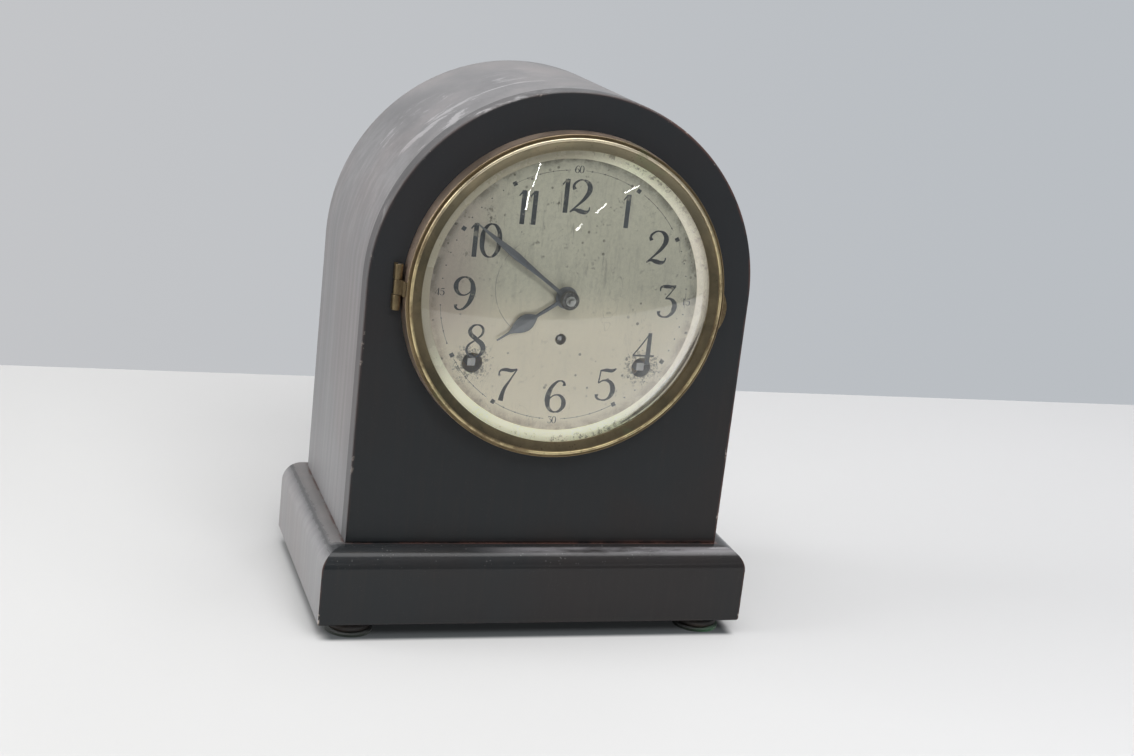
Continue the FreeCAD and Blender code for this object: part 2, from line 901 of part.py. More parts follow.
def make_reflector_ring():
    top = min(reflector_height, dome_height(reflector_outer_radius, glass_thickness) - wood_gap)
    foot = dial_rise + bezel_gap
    return spin([
        (reflector_inner_radius, foot),
        (reflector_outer_radius, top),
        (glass_radius, top),
        (glass_radius, top - reflector_thickness),
        (reflector_outer_radius + reflector_thickness, top - reflector_thickness),
        (reflector_inner_radius + reflector_thickness * 2, foot),
    ])


def knuckle(radius, bore, x, depth, z_low, z_high):
    y = front_y + depth
    barrel = upright(radius, x, y, z_low, z_high)
    return barrel.cut(upright(bore, x, y, z_low - overrun, z_high + overrun)) if bore else barrel


def bezel_knuckle_spans():
    third = hinge_height / 3
    low = hinge_z - hinge_height / 2
    return [(low + index * third, low + (index + 1) * third) for index in range(3)]


def make_bezel_hinge_case_leaf():
    # two end knuckles on a leaf let into the face of the case, behind the bezel
    spans = bezel_knuckle_spans()
    bore = hinge_pin_radius + hinge_running_gap
    leaf = bar(
        hinge_x, hinge_x + hinge_leaf_reach, wood_gap, hinge_leaf_thickness,
        hinge_z - hinge_height / 2, hinge_z + hinge_height / 2,
    )
    for low, high in (spans[0], spans[2]):
        web = bar(
            hinge_x - hinge_barrel_radius, hinge_x,
            -hinge_rise, hinge_leaf_thickness, low, high,
        )
        leaf = leaf.fuse([web, knuckle(hinge_barrel_radius, 0, hinge_x, -hinge_rise, low, high)])
    pin_space = upright(
        bore, hinge_x, front_y - hinge_rise,
        hinge_z - hinge_height, hinge_z + hinge_height,
    )
    return leaf.cut(pin_space).removeSplitter()


def make_bezel_hinge_leaf():
    # the middle knuckle, with a leaf that is soldered up the outer wall of the bezel
    low, high = bezel_knuckle_spans()[1]
    low += hinge_side_gap
    high -= hinge_side_gap
    middle = knuckle(hinge_barrel_radius, 0, hinge_x, -hinge_rise, low, high)
    leaf = bar(
        hinge_x, -bezel_shoulder_radius,
        -bezel_shoulder_height, -hinge_rise, low, high,
    )
    leaf = leaf.cut(bar(
        hinge_x - overrun, -bezel_flange_radius - hinge_leaf_thickness,
        -bezel_shoulder_height - overrun, -hinge_rise - hinge_barrel_radius, low, high,
    ))
    leaf = leaf.fuse(middle)
    wall = spin([
        (0, -overrun),
        (bezel_flange_radius + wood_gap, -overrun),
        (bezel_flange_radius + wood_gap, bezel_gap),
        (bezel_shoulder_radius + wood_gap, bezel_shoulder_height + wood_gap),
        (0, bezel_shoulder_height + wood_gap),
    ])
    bore = hinge_pin_radius + hinge_running_gap
    leaf = leaf.cut([wall, upright(bore, hinge_x, front_y - hinge_rise, low - overrun, high + overrun)])
    return leaf.removeSplitter()


def make_bezel_hinge_pin():
    half = hinge_height / 2
    return upright(hinge_pin_radius, hinge_x, front_y - hinge_rise, hinge_z - half, hinge_z + half)


def make_bezel_tab():
    # a thumb tab: a segment of a disc that stands out past the bezel's edge
    half = tab_height / 2
    radius = (half ** 2 + tab_reach ** 2) / (2 * tab_reach)
    place = (bezel_flange_radius + tab_reach - radius, tab_offset)
    disc = rod(radius, place, -tab_rise - tab_thickness, -tab_rise)
    return disc.cut(rod(bezel_flange_radius, centre_place, -glass_reach, overrun))


# back door

def make_back_door():
    half = door_half_width - door_gap
    sill = plinth_top + door_sill_height + door_gap
    return thicken(Part.Face(arch_wire(half, sill, arch_z, half, board_front)), back_board_thickness)


def door_hinge_spans():
    spans = []
    for rise in (door_hinge_low, door_hinge_high):
        low = plinth_top + rise
        third = door_hinge_height / 3
        spans.append([(low + index * third, low + (index + 1) * third) for index in range(3)])
    return spans


def door_hinge_piece(spans, own, side, shrink):
    # a full height leaf on one side of the hinge line, with the knuckles of its own spans
    low = spans[0][0]
    high = spans[-1][1]
    inner = door_hinge_x + side * door_hinge_leaf
    near = door_hinge_x + side * (door_hinge_barrel_radius + hinge_side_gap)
    leaf_top = back_face + door_hinge_leaf_thickness
    leaf = bar(min(inner, near), max(inner, near), back_face, leaf_top, low, high)
    bore = upright(
        door_hinge_pin_radius + hinge_running_gap, door_hinge_x,
        front_y + door_hinge_depth, low - overrun, high + overrun,
    )
    for low_z, high_z in own:
        low_z += shrink
        high_z -= shrink
        arm = bar(
            min(door_hinge_x, near), max(door_hinge_x, near),
            back_face, leaf_top, low_z, high_z,
        )
        barrel = knuckle(door_hinge_barrel_radius, 0, door_hinge_x, door_hinge_depth, low_z, high_z)
        leaf = leaf.fuse([barrel, arm])
    return leaf.cut(bore).removeSplitter()


def make_door_hinge_case_leaves():
    return Part.makeCompound([
        door_hinge_piece(spans, [spans[0], spans[2]], 1, 0) for spans in door_hinge_spans()
    ])


def make_door_hinge_leaves():
    return Part.makeCompound([
        door_hinge_piece(spans, [spans[1]], -1, hinge_side_gap) for spans in door_hinge_spans()
    ])


def make_door_hinge_pins():
    pins = []
    for spans in door_hinge_spans():
        y = front_y + door_hinge_depth
        pins.append(upright(door_hinge_pin_radius, door_hinge_x, y, spans[0][0], spans[2][1]))
    return Part.makeCompound(pins)


def make_door_button():
    place = button_place()
    start = back_face + button_lift
    half = button_length / 2 - button_width / 2
    z = dial_z + place[1]
    middle = bar(
        place[0] - button_width / 2, place[0] + button_width / 2,
        start, start + button_thickness, z - half, z + half,
    )
    ends = [
        rod(button_width / 2, (place[0], place[1] + shift), start, start + button_thickness)
        for shift in (-half, half)
    ]
    button = joined(middle, *ends)
    return button.cut(rod(button_screw_radius + running_gap, place, start - overrun, start + overrun))


def make_door_button_screw():
    place = button_place()
    top = back_face + button_lift + button_thickness + running_gap
    shank = rod(button_screw_radius, place, back_face - button_screw_depth, top)
    head = rod(button_screw_head_radius, place, top, top + button_screw_head_height)
    return joined(shank, head)


# movement plates

def plate_wire(depth):
    points = [
        (-plate_low_half_width, -plate_bottom_drop),
        (plate_low_half_width, -plate_bottom_drop),
        (plate_low_half_width, -plate_shoulder_drop),
        (plate_high_half_width, plate_neck_rise),
        (plate_high_half_width, plate_top_rise),
        (-plate_high_half_width, plate_top_rise),
        (-plate_high_half_width, plate_neck_rise),
        (-plate_low_half_width, -plate_shoulder_drop),
    ]
    return flat_wire(points, depth)


def rounded_plate(depth):
    plate = thicken(Part.Face(plate_wire(depth)), plate_thickness)
    corners = [
        edge for edge in plate.Edges
        if edge.BoundBox.YLength > plate_thickness / 2 and edge.BoundBox.XLength < plate_thickness / 2
    ]
    return plate.makeFillet(plate_corner_round, corners)


def pivot_places():
    return [
        second_place, centre_place, third_place, escape_place, verge_place,
        strike_second_place, pin_wheel_place, warning_place, fly_place, hammer_place,
    ]


def drilled(plate, depth, centre_bore, winding_bore, extra):
    holes = [(pivot_radius + running_gap, place) for place in pivot_places() if place != centre_place]
    holes.append((centre_bore + running_gap, centre_place))
    holes += [(winding_bore + running_gap, place) for place in (time_barrel, strike_barrel)]
    holes.append((regulator_arbor_radius + running_gap, regulator_place))
    holes += [(pillar_pivot_radius + running_gap, place) for place in pillar_places]
    holes += extra
    cutters = [
        rod(radius, place, depth - overrun, depth + plate_thickness + overrun)
        for radius, place in holes
    ]
    return plate.cut(cutters)


def make_front_plate():
    plate = rounded_plate(front_plate_depth)
    lugs = [rod(lug_radius, place, front_plate_depth, train_start) for place in lug_places]
    plate = joined(plate, *lugs)
    screw_holes = [(movement_screw_radius + running_gap, place) for place in lug_places]
    plate = drilled(plate, front_plate_depth, hand_arbor_radius, winding_pivot_radius, screw_holes)
    stud_front = hour_wheel_depth - motion_wheel_thickness / 2
    return joined(plate, rod(motion_stud_radius, motion_place, stud_front, front_plate_depth))


def make_back_plate():
    plate = rounded_plate(train_end)
    return drilled(plate, train_end, pivot_radius, winding_pivot_radius, [])


def make_pillars():
    pillars = []
    for place in pillar_places:
        body = rod(pillar_radius, place, train_start, train_end)
        tenon = rod(
            pillar_pivot_radius, place,
            front_plate_depth, back_plate_end + nut_thickness,
        )
        pillars.append(joined(body, tenon))
    return Part.makeCompound(pillars)


def hexagon(width, place, depth):
    reach = width / math.sqrt(3)
    return flat_wire([polar(place, reach, 60 * index) for index in range(6)], depth)


def make_pillar_nuts():
    nuts = []
    for place in pillar_places:
        bore = circle_wire(pillar_pivot_radius + running_gap, place, back_plate_end)
        face = plate_face(hexagon(nut_width, place, back_plate_end), [bore])
        nuts.append(thicken(face, nut_thickness))
    return Part.makeCompound(nuts)


def make_movement_screws():
    screws = []
    for place in lug_places:
        start = front_board_thickness - movement_screw_depth
        shank = rod(movement_screw_radius, place, start, train_start)
        head = rod(
            movement_screw_head_radius, place,
            train_start, train_start + movement_screw_head_height,
        )
        screws.append(joined(shank, head))
    return Part.makeCompound(screws)


# going train

def make_great_wheel(place):
    return gear(
        great_teeth, great_module, 0, place, train_start + great_layer,
        wheel_thickness, winding_arbor_radius + running_gap,
    )


def ratchet_points(place, turn):
    points = []
    step = 360 / ratchet_teeth
    for index in range(ratchet_teeth):
        angle = turn + index * step
        points.append(polar(place, ratchet_radius - ratchet_tooth_depth, angle))
        points.append(polar(place, ratchet_radius, angle))
    return points


def make_winding_arbor(place):
    # the arbor that the key turns, with its ratchet wheel, a square end and two pivots
    body = rod(winding_arbor_radius, place, train_start + end_shake, train_end - end_shake)
    pivots = rod(
        winding_pivot_radius, place,
        front_plate_depth - pivot_stand_out, back_plate_end + pivot_stand_out,
    )
    half = winding_square / 2
    z = dial_z + place[1]
    square = bar(
        place[0] - half, place[0] + half,
        winding_tip_depth, front_plate_depth, z - half, z + half,
    )
    depth = train_start + ratchet_layer
    teeth = ratchet_points(place, click_seat_angle)
    ratchet = thicken(Part.Face(flat_wire(teeth, depth)), ratchet_thickness)
    return joined(body, pivots, square, ratchet)


def click_pivot(place):
    reach = ratchet_radius + click_width
    return polar(place, reach, click_seat_angle - math.degrees(click_length / reach))


def make_click(place):
    # a click that drops against a tooth of the ratchet and turns on a rivet in the great wheel
    depth = train_start + ratchet_layer
    pivot = click_pivot(place)
    nose = click_seat_angle - math.degrees(click_clearance / ratchet_radius)
    heel = click_seat_angle - 360 / ratchet_teeth
    floor = ratchet_radius - ratchet_tooth_depth + click_clearance * 2
    half = click_width / 2
    bearing = math.degrees(math.atan2(pivot[1] - place[1], pivot[0] - place[0]))
    points = [
        polar(place, floor, nose),
        polar(place, ratchet_radius + click_clearance * 2, heel),
        polar(pivot, half, bearing + 180),
        polar(pivot, half, bearing - 90),
        polar(pivot, half, bearing),
        polar(place, ratchet_radius + half, heel),
        polar(place, ratchet_radius, nose),
    ]
    blade = thicken(Part.Face(flat_wire(points, depth)), ratchet_thickness)
    wheel_front = train_start + great_layer + wheel_thickness
    stud = rod(click_pivot_radius, pivot, wheel_front + running_gap, depth + ratchet_thickness)
    return joined(blade, stud)


def spiral_band(place, inner_radius, outer_radius, turns, steps, thickness, start, lead_out=()):
    # a flat strip wound in a spiral, drawn as its outer side and back along its inner side
    count = turns * steps
    outer_side = []
    inner_side = []
    for index in range(count + 1):
        share = index / count
        reach = inner_radius + (outer_radius - inner_radius) * share
        angle = start + 360 * turns * share
        outer_side.append(polar(place, reach + thickness / 2, angle))
        inner_side.append(polar(place, reach - thickness / 2, angle))
    return outer_side + list(lead_out) + inner_side[::-1]


def make_mainspring(place, side):
    # the spring stands half wound, and its outer end is looped round the bottom pillar
    pillar = (side * pillar_low_reach, -pillar_low_drop)
    bearing = math.degrees(math.atan2(pillar[1] - place[1], pillar[0] - place[0]))
    depth = train_start + mainspring_layer
    points = spiral_band(
        place, mainspring_inner_radius, mainspring_outer_radius,
        mainspring_turns, mainspring_steps, mainspring_thickness, bearing,
    )
    band = thicken(Part.Face(flat_wire(points, depth)), mainspring_width)
    eye_inner = pillar_radius + mainspring_eye_gap
    eye_outer = eye_inner + mainspring_thickness * 2
    eye = rod(eye_outer, pillar, depth, depth + mainspring_width)
    eye = eye.cut(rod(eye_inner, pillar, depth - overrun, depth + mainspring_width + overrun))
    start = polar(place, mainspring_outer_radius - mainspring_thickness / 2, bearing)
    end = polar(pillar, (eye_inner + eye_outer) / 2, bearing + 180)
    wide = mainspring_thickness / 2
    strap = [
        polar(start, wide, bearing - 90), polar(end, wide, bearing - 90),
        polar(end, wide, bearing + 90), polar(start, wide, bearing + 90),
    ]
    return joined(band, eye, thicken(Part.Face(flat_wire(strap, depth)), mainspring_width))


def make_second_wheel():
    return wheel_on_arbor(
        second_place, arbor_radius,
        (great_pinion_leaves, great_module, second_pinion_phase, great_layer),
        (second_teeth, second_module, 0, second_layer),
    )


def make_centre_wheel():
    # the arbor runs out through the dial to carry the minute hand, and ends in a square
    layer_start = train_start + end_shake
    body = rod(arbor_radius, centre_place, layer_start, train_end - end_shake)
    rear = rod(pivot_radius, centre_place, train_end - end_shake, back_plate_end + pivot_stand_out)
    square_back = -minute_hand_rise - hand_thickness - hand_collet_height - hand_nut_height
    front = rod(hand_arbor_radius, centre_place, square_back, layer_start)
    half = min(centre_square / 2, hand_arbor_radius)
    tip = bar(
        -half, half, square_back - centre_square_length, square_back,
        dial_z - half, dial_z + half,
    )
    leaves = pinion(
        second_pinion_leaves, second_module, centre_pinion_phase,
        centre_place, layer_start, pinion_length,
    )
    wheel = gear(
        centre_teeth, centre_module, 0, centre_place, train_start + centre_layer, wheel_thickness
    )
    return joined(body, rear, front, tip, leaves, wheel)


def make_third_wheel():
    return wheel_on_arbor(
        third_place, thin_arbor_radius,
        (centre_pinion_leaves, centre_module, third_pinion_phase, centre_layer),
        (third_teeth, third_module, 0, third_layer),
    )


def make_escape_wheel():
    step = 360 / escape_teeth
    points = []
    for index in range(escape_teeth):
        angle = index * step
        root = escape_radius - escape_tooth_depth
        points.append(polar(escape_place, root, angle))
        points.append(polar(escape_place, escape_radius, angle + step * escape_lean_share))
        points.append(polar(escape_place, root, angle + step * (escape_lean_share + escape_back_share)))
    depth = train_start + escape_layer
    holes = crossings(escape_radius - escape_tooth_depth, escape_place, depth)
    wheel = thicken(plate_face(flat_wire(points, depth), holes), wheel_thickness)
    leaf_start = train_start + third_layer + wheel_thickness / 2 - pinion_length / 2
    leaves = pinion(
        third_pinion_leaves, third_module, escape_pinion_phase,
        escape_place, leaf_start, pinion_length,
    )
    return joined(arbor(escape_place, thin_arbor_radius), wheel, leaves)


# escapement and pendulum

def make_pallet_verge():
    # a bent strip whose two pallets stand over the escape wheel, on the arbor that the crutch turns
    swing = verge_rise * math.sin(math.radians(swing_angle))
    reach = escape_radius + verge_clearance + swing
    left = polar(escape_place, reach, 90 + verge_span_angle)
    right = polar(escape_place, reach, 90 - verge_span_angle)
    strip = verge_strip
    hub = verge_hub_radius
    top = verge_place[1]
    points = [
        (left[0], left[1]),
        (left[0] + strip, left[1] + strip),
        (-hub, top - hub + strip),
        (hub, top - hub + strip),
        (right[0] - strip, right[1] + strip),
        (right[0], right[1]),
        (right[0] + strip, right[1] + strip),
        (hub, top + strip),
        (-hub, top + strip),
        (left[0] - strip, left[1] + strip),
    ]
    middle = train_start + escape_layer + wheel_thickness / 2
    depth = middle - verge_width / 2
    bent = thicken(Part.Face(flat_wire(points, depth)), verge_width)
    hub_rod = rod(hub, verge_place, depth, depth + verge_width)
    rear = rod(pivot_radius, verge_place, back_plate_end, back_plate_end + crutch_depth_gap * 2)
    return joined(arbor(verge_place, thin_arbor_radius), bent, hub_rod, rear)


def make_crutch():
    # a wire from the verge arbor, with a flat fork that goes round the pendulum rod
    depth = back_plate_end + crutch_depth_gap + crutch_radius
    rise = dial_z + verge_place[1]
    low = rise - crutch_drop
    collar_start = depth - crutch_collar_length / 2
    collar = rod(crutch_collar_radius, verge_place, collar_start, collar_start + crutch_collar_length)
    stem = upright(crutch_radius, 0, front_y + depth, low, rise)
    half = crutch_fork_thickness / 2
    inner = pendulum_rod_radius + crutch_clearance
    outer = inner + crutch_fork_thickness
    prong_end = pendulum_depth + pendulum_rod_radius * 2
    fork = bar(-outer, outer, depth - half, prong_end, low - half, low + half)
    fork = fork.cut(bar(-inner, inner, depth + half, prong_end + overrun, low - overrun, low + overrun))
    bore = rod(pivot_radius + running_gap, verge_place, collar_start - overrun, depth + overrun)
    return joined(collar, stem, fork).cut(bore)


def strip_bottom():
    return dial_z + verge_place[1] - suspension_strip_length


def bob_centre_z():
    return dial_z + verge_place[1] - pendulum_length


def make_pendulum_rod():
    # a thin spring strip held in the post above, and the rod below it down through the bob
    pivot_z = dial_z + verge_place[1]
    half_strip = suspension_strip_thickness / 2
    strip = bar(
        -half_strip, half_strip,
        pendulum_depth - suspension_strip_width / 2, pendulum_depth + suspension_strip_width / 2,
        strip_bottom(), pivot_z + suspension_grip,
    )
    y = front_y + pendulum_depth
    low = bob_centre_z() - bob_radius - rating_nut_height
    wire = upright(pendulum_rod_radius, 0, y, low, strip_bottom() + pendulum_rod_radius)
    nut_top = bob_centre_z() - bob_radius
    nut = upright(rating_nut_radius, 0, y, nut_top - rating_nut_height, nut_top)
    return joined(strip, wire, nut)


def make_pendulum_bob():
    # a lens with a narrow flat rim, drilled down its middle for the rod
    rim = bob_rim_thickness / 2
    bulge = bob_thickness / 2 - rim
    z = bob_centre_z()
    y = front_y + pendulum_depth
    side = []
    for index in range(bob_steps + 1):
        share = index / bob_steps
        side.append((bob_radius * share, rim + bulge * math.cos(share * math.pi / 2)))
    outline = [Vec(reach, y - half, z) for reach, half in side]
    outline += [Vec(reach, y + half, z) for reach, half in reversed(side)]
    lens = Part.Face(polygon(outline)).revolve(Vec(0, y, z), Vec(0, 1, 0), 360)
    bore = upright(
        pendulum_rod_radius + running_gap, 0, y,
        z - bob_radius - overrun, z + bob_radius + overrun,
    )
    return lens.cut(bore)


def make_suspension_post():
    # a stem out from the back plate, with a slit head that grips the top of the suspension strip
    foot = suspension_play
    stem_rise = foot + suspension_head_height
    reach = suspension_strip_width / 2 + suspension_play * 2
    stem = rod(
        suspension_post_radius, (0, verge_place[1] + stem_rise),
        back_plate_end, pendulum_depth + reach,
    )
    z = dial_z + verge_place[1]
    head = bar(
        -suspension_post_radius, suspension_post_radius,
        pendulum_depth - reach, pendulum_depth + reach,
        z + foot, z + stem_rise,
    )
    half = suspension_strip_thickness / 2 + suspension_play
    slit = bar(
        -half, half, pendulum_depth - reach - overrun, pendulum_depth + reach + overrun,
        z - overrun, z + suspension_grip + suspension_play,
    )
    return joined(stem, head).cut(slit)


# striking train

def make_strike_second_wheel():
    return wheel_on_arbor(
        strike_second_place, arbor_radius,
        (great_pinion_leaves, great_module, strike_pinion_phase, great_layer),
        (second_teeth, second_module, 0, second_layer),
    )


def make_pin_wheel():
    # the wheel whose pins lift the hammer
    body = wheel_on_arbor(
        pin_wheel_place, thin_arbor_radius,
        (pin_wheel_leaves, second_module, pin_pinion_phase, second_layer),
        (pin_wheel_teeth, pin_wheel_module, 0, pin_wheel_layer),
    )
    start = train_start + pin_wheel_layer + wheel_thickness / 2
    rim = pin_wheel_module * (pin_wheel_teeth / 2 - tooth_dedendum_share)
    reach = rim * (1 + rim_share) / 2
    pins = [
        rod(lifting_pin_radius, polar(pin_wheel_place, reach, 360 * index / lifting_pin_count),
            start, start + wheel_thickness / 2 + lifting_pin_length)
        for index in range(lifting_pin_count)
    ]
    return joined(body, *pins)


def make_warning_wheel():
    return wheel_on_arbor(
        warning_place, thin_arbor_radius,
        (warning_leaves, pin_wheel_module, warning_pinion_phase, pin_wheel_layer),
        (warning_teeth, warning_module, 0, warning_layer),
    )


def make_fly():
    # a fan on the last arbor, whose blades beat the air and so slow the striking
    leaf_start = train_start + warning_layer + wheel_thickness / 2 - pinion_length / 2
    leaves = pinion(
        fly_leaves, warning_module, fly_pinion_phase, fly_place, leaf_start, pinion_length
    )
    blade_end = leaf_start - end_shake
    blade_start = blade_end - fly_length
    blade_start = max(blade_start, train_start + end_shake * 2)
    z = dial_z + fly_place[1]
    blade = bar(
        fly_place[0] - fly_half_width, fly_place[0] + fly_half_width,
        blade_start, blade_end, z - fly_thickness / 2, z + fly_thickness / 2,
    )
    hub = rod(fly_hub_radius, fly_place, blade_start, blade_end)
    return joined(arbor(fly_place, thin_arbor_radius), leaves, blade, hub)


def hammer_head_centre():
    x = -gong_outer_radius - gong_wire_width / 2 - hammer_clearance
    x -= hammer_tip_length + hammer_head_length / 2
    return (x, plinth_top + gong_height - dial_z)


def make_hammer():
    # an arbor with a tail that the pins lift, and a long wire down to the head behind the plates
    head = hammer_head_centre()
    depth = gong_depth
    pivots = arbor(hammer_place, thin_arbor_radius)
    rear = rod(pivot_radius, hammer_place, back_plate_end, depth)
    eye = rod(
        hammer_eye_radius, hammer_place,
        depth - hammer_eye_half_length, depth + hammer_eye_half_length,
    )
    start = world(hammer_place, depth)
    end = world(head, depth)
    wire = Part.makeCylinder(hammer_wire_radius, (end - start).Length, start, end - start)
    half = hammer_head_length / 2
    weight = Part.makeCylinder(
        hammer_head_radius, hammer_head_length, end - Vec(half, 0, 0), Vec(1, 0, 0)
    )
    tip = Part.makeCylinder(
        hammer_tip_radius, hammer_tip_length, end + Vec(half, 0, 0), Vec(1, 0, 0)
    )
    pin_end = train_start + pin_wheel_layer + wheel_thickness
    bearing = math.degrees(math.atan2(
        pin_wheel_place[1] - hammer_place[1], pin_wheel_place[0] - hammer_place[0]
    ))
    span = math.hypot(
        pin_wheel_place[0] - hammer_place[0], pin_wheel_place[1] - hammer_place[1]
    )
    rim = pin_wheel_module * (pin_wheel_teeth / 2 - tooth_dedendum_share)
    sweep = rim * (1 + rim_share) / 2 + lifting_pin_radius
    reach = span - sweep - hammer_tail_clearance
    wide = hammer_tail_width / 2
    tail_end = polar(hammer_place, reach, bearing)
    corners = [
        polar(hammer_place, wide, bearing - 90), polar(tail_end, wide, bearing - 90),
        polar(tail_end, wide, bearing + 90), polar(hammer_place, wide, bearing + 90),
    ]
    tail = thicken(Part.Face(flat_wire(corners, pin_end)), lifting_pin_length)
    return joined(pivots, rear, eye, wire, weight, tip, tail)


# gong

def gong_place():
    return (0, plinth_top + gong_height - dial_z)


def gong_stand_front():
    return gong_depth + gong_wire_depth / 2 + gong_stand_gap


def gong_screw_places():
    x = gong_foot_width / 2 - gong_screw_inset
    y = front_y + gong_stand_front() + gong_foot_depth / 2
    return [(-x, y), (x, y)]


def make_gong_stand():
    # cast iron: a foot on the base board, a post behind the coil and a boss at the coil's middle
    front = gong_stand_front()
    foot = bar(
        -gong_foot_width / 2, gong_foot_width / 2, front, front + gong_foot_depth,
        plinth_top, plinth_top + gong_foot_height,
    )
    uprights = [
        edge for edge in foot.Edges
        if edge.BoundBox.ZLength > gong_foot_height / 2
    ]
    foot = foot.makeFillet(gong_foot_round, uprights)
    middle = front + gong_foot_depth / 2
    low_half = gong_post_width / 2
    top_half = gong_boss_radius
    z_low = plinth_top + gong_foot_height
    z_high = plinth_top + gong_height
    sides = polygon([
        Vec(-low_half - top_half / 2, front_y + middle - gong_post_depth / 2, z_low),
        Vec(low_half + top_half / 2, front_y + middle - gong_post_depth / 2, z_low),
        Vec(top_half / 2 + low_half / 2, front_y + middle - gong_post_depth / 2, z_high),
        Vec(-top_half / 2 - low_half / 2, front_y + middle - gong_post_depth / 2, z_high),
    ])
    post = Part.Face(sides).extrude(Vec(0, gong_post_depth, 0))
    crown = rod(gong_boss_radius, gong_place(), middle - gong_post_depth / 2, middle + gong_post_depth / 2)
    boss = rod(
        gong_inner_radius - gong_wire_width, gong_place(),
        gong_depth - gong_wire_depth / 2, middle,
    )
    stand = joined(foot, post, crown, boss)
    for x, y in gong_screw_places():
        bore = gong_screw_radius + running_gap
        stand = stand.cut(upright(bore, x, y, plinth_top - overrun, z_low + overrun))
    return stand


def make_gong_coil():
    # a flat spiral of steel whose inner end is staked into the boss of the stand
    place = gong_place()
    points = spiral_band(
        place, gong_inner_radius, gong_outer_radius, gong_turns, gong_steps, gong_wire_width, 90,
    )
    depth = gong_depth - gong_wire_depth / 2
    band = thicken(Part.Face(flat_wire(points, depth)), gong_wire_depth)
    inner = gong_inner_radius - gong_wire_width
    z = dial_z + place[1]
    half = gong_wire_width / 2
    end = bar(-half, half, depth, depth + gong_wire_depth, z, z + gong_inner_radius)
    end = end.cut(rod(inner + wood_gap, place, depth - overrun, depth + gong_wire_depth + overrun))
    return joined(band, end)


def make_gong_screws():
    screws = []
    top = plinth_top + gong_foot_height
    for x, y in gong_screw_places():
        shank = upright(gong_screw_radius, x, y, plinth_top - gong_screw_depth, top)
        head = upright(gong_screw_head_radius, x, y, top, top + gong_screw_head_height)
        screws.append(joined(shank, head))
    return Part.makeCompound(screws)


# motion work and hands

def make_cannon_pinion():
    start = minute_wheel_depth - (pinion_length - motion_wheel_thickness) / 2
    start = min(start, front_plate_depth - pinion_length - end_shake)
    leaves = pinion(cannon_leaves, motion_module, cannon_phase, centre_place, start, pinion_length)
    pipe = rod(cannon_pipe_radius, centre_place, -minute_hand_rise + running_gap, start + pinion_length)
    bore = rod(
        hand_arbor_radius + running_gap, centre_place,
        -glass_reach, front_plate_depth + overrun,
    )
    return joined(leaves, pipe).cut(bore)


def make_hour_wheel():
    inner = cannon_pipe_radius + hour_pipe_gap
    outer = inner + hour_pipe_wall
    wheel = gear(
        hour_wheel_teeth, hour_module, hour_wheel_phase,
        centre_place, hour_wheel_depth, motion_wheel_thickness,
    )
    pipe = rod(
        outer, centre_place,
        -hour_hand_rise - hand_thickness, hour_wheel_depth + motion_wheel_thickness,
    )
    bore = rod(inner, centre_place, -glass_reach, front_plate_depth)
    return joined(wheel, pipe).cut(bore)


def make_minute_wheel():
    bore = motion_stud_radius + running_gap
    wheel = gear(
        minute_wheel_teeth, motion_module, minute_wheel_phase,
        motion_place, minute_wheel_depth, motion_wheel_thickness,
    )
    start = hour_wheel_depth - end_shake
    length = minute_wheel_depth - start
    leaves = pinion(minute_pinion_leaves, hour_module, 0, motion_place, start, length)
    return joined(wheel, leaves).cut(rod(bore, motion_place, start - overrun, front_plate_depth))


def clock_point(reach, aside, degrees):
    # a point of a hand that lies at a clock angle, turned clockwise from twelve
    angle = math.radians(degrees)
    x = reach * math.sin(angle) + aside * math.cos(angle)
    z = reach * math.cos(angle) - aside * math.sin(angle)
    return (x, z)


def hand_blade(profile, angle, rise):
    # a blade from (reach, half width) pairs along one side, joined to its mirror by straight runs
    side = [clock_point(reach, half, angle) for reach, half in profile]
    other = [clock_point(reach, -half, angle) for reach, half in reversed(profile)]
    return thicken(Part.Face(flat_wire(side + other, -rise - hand_thickness)), hand_thickness)


def make_hour_hand():
    # a plain shaft, a pear shaped lobe and a narrow tip
    shaft = hour_shaft_width / 2
    lobe = hour_lobe_width / 2
    tip = hour_tip_width / 2
    start = hour_lobe_reach - hour_lobe_length / 2
    neck = shaft * hour_neck_share
    profile = [(0, shaft), (start, neck)]
    for index in range(1, hour_lobe_steps):
        share = index / hour_lobe_steps
        fullness_share = math.sin(math.pi * share ** hour_pear_share)
        narrow = neck * (1 - share) + tip * share
        profile.append((start + hour_lobe_length * share, max(lobe * fullness_share, narrow)))
    profile.append((start + hour_lobe_length, tip))
    profile.append((hour_hand_length, tip * hour_tip_share))
    blade = hand_blade(profile, hour_hand_angle, hour_hand_rise)
    eye = rod(hour_hand_eye_radius, centre_place, -hour_hand_rise - hand_thickness, -hour_hand_rise)
    bore_radius = cannon_pipe_radius + hour_pipe_gap + hour_pipe_wall + running_gap
    bore = rod(bore_radius, centre_place, -glass_reach, overrun)
    return joined(blade, eye).cut(bore)


def make_minute_hand():
    # slender, fullest a little past the middle, and drawn to a fine point
    profile = [(0, minute_shaft_width / 2)]
    for reach_share, width_share in minute_belly_shares:
        half = minute_belly_width / 2 * width_share
        profile.append((minute_belly_reach * reach_share, max(half, minute_shaft_width / 2)))
    profile.append((minute_hand_length, minute_tip_width / 2))
    blade = hand_blade(profile, minute_hand_angle, minute_hand_rise)
    eye = rod(
        minute_hand_eye_radius, centre_place,
        -minute_hand_rise - hand_thickness, -minute_hand_rise,
    )
    bore = rod(hand_arbor_radius + running_gap, centre_place, -glass_reach, overrun)
    return joined(blade, eye).cut(bore)


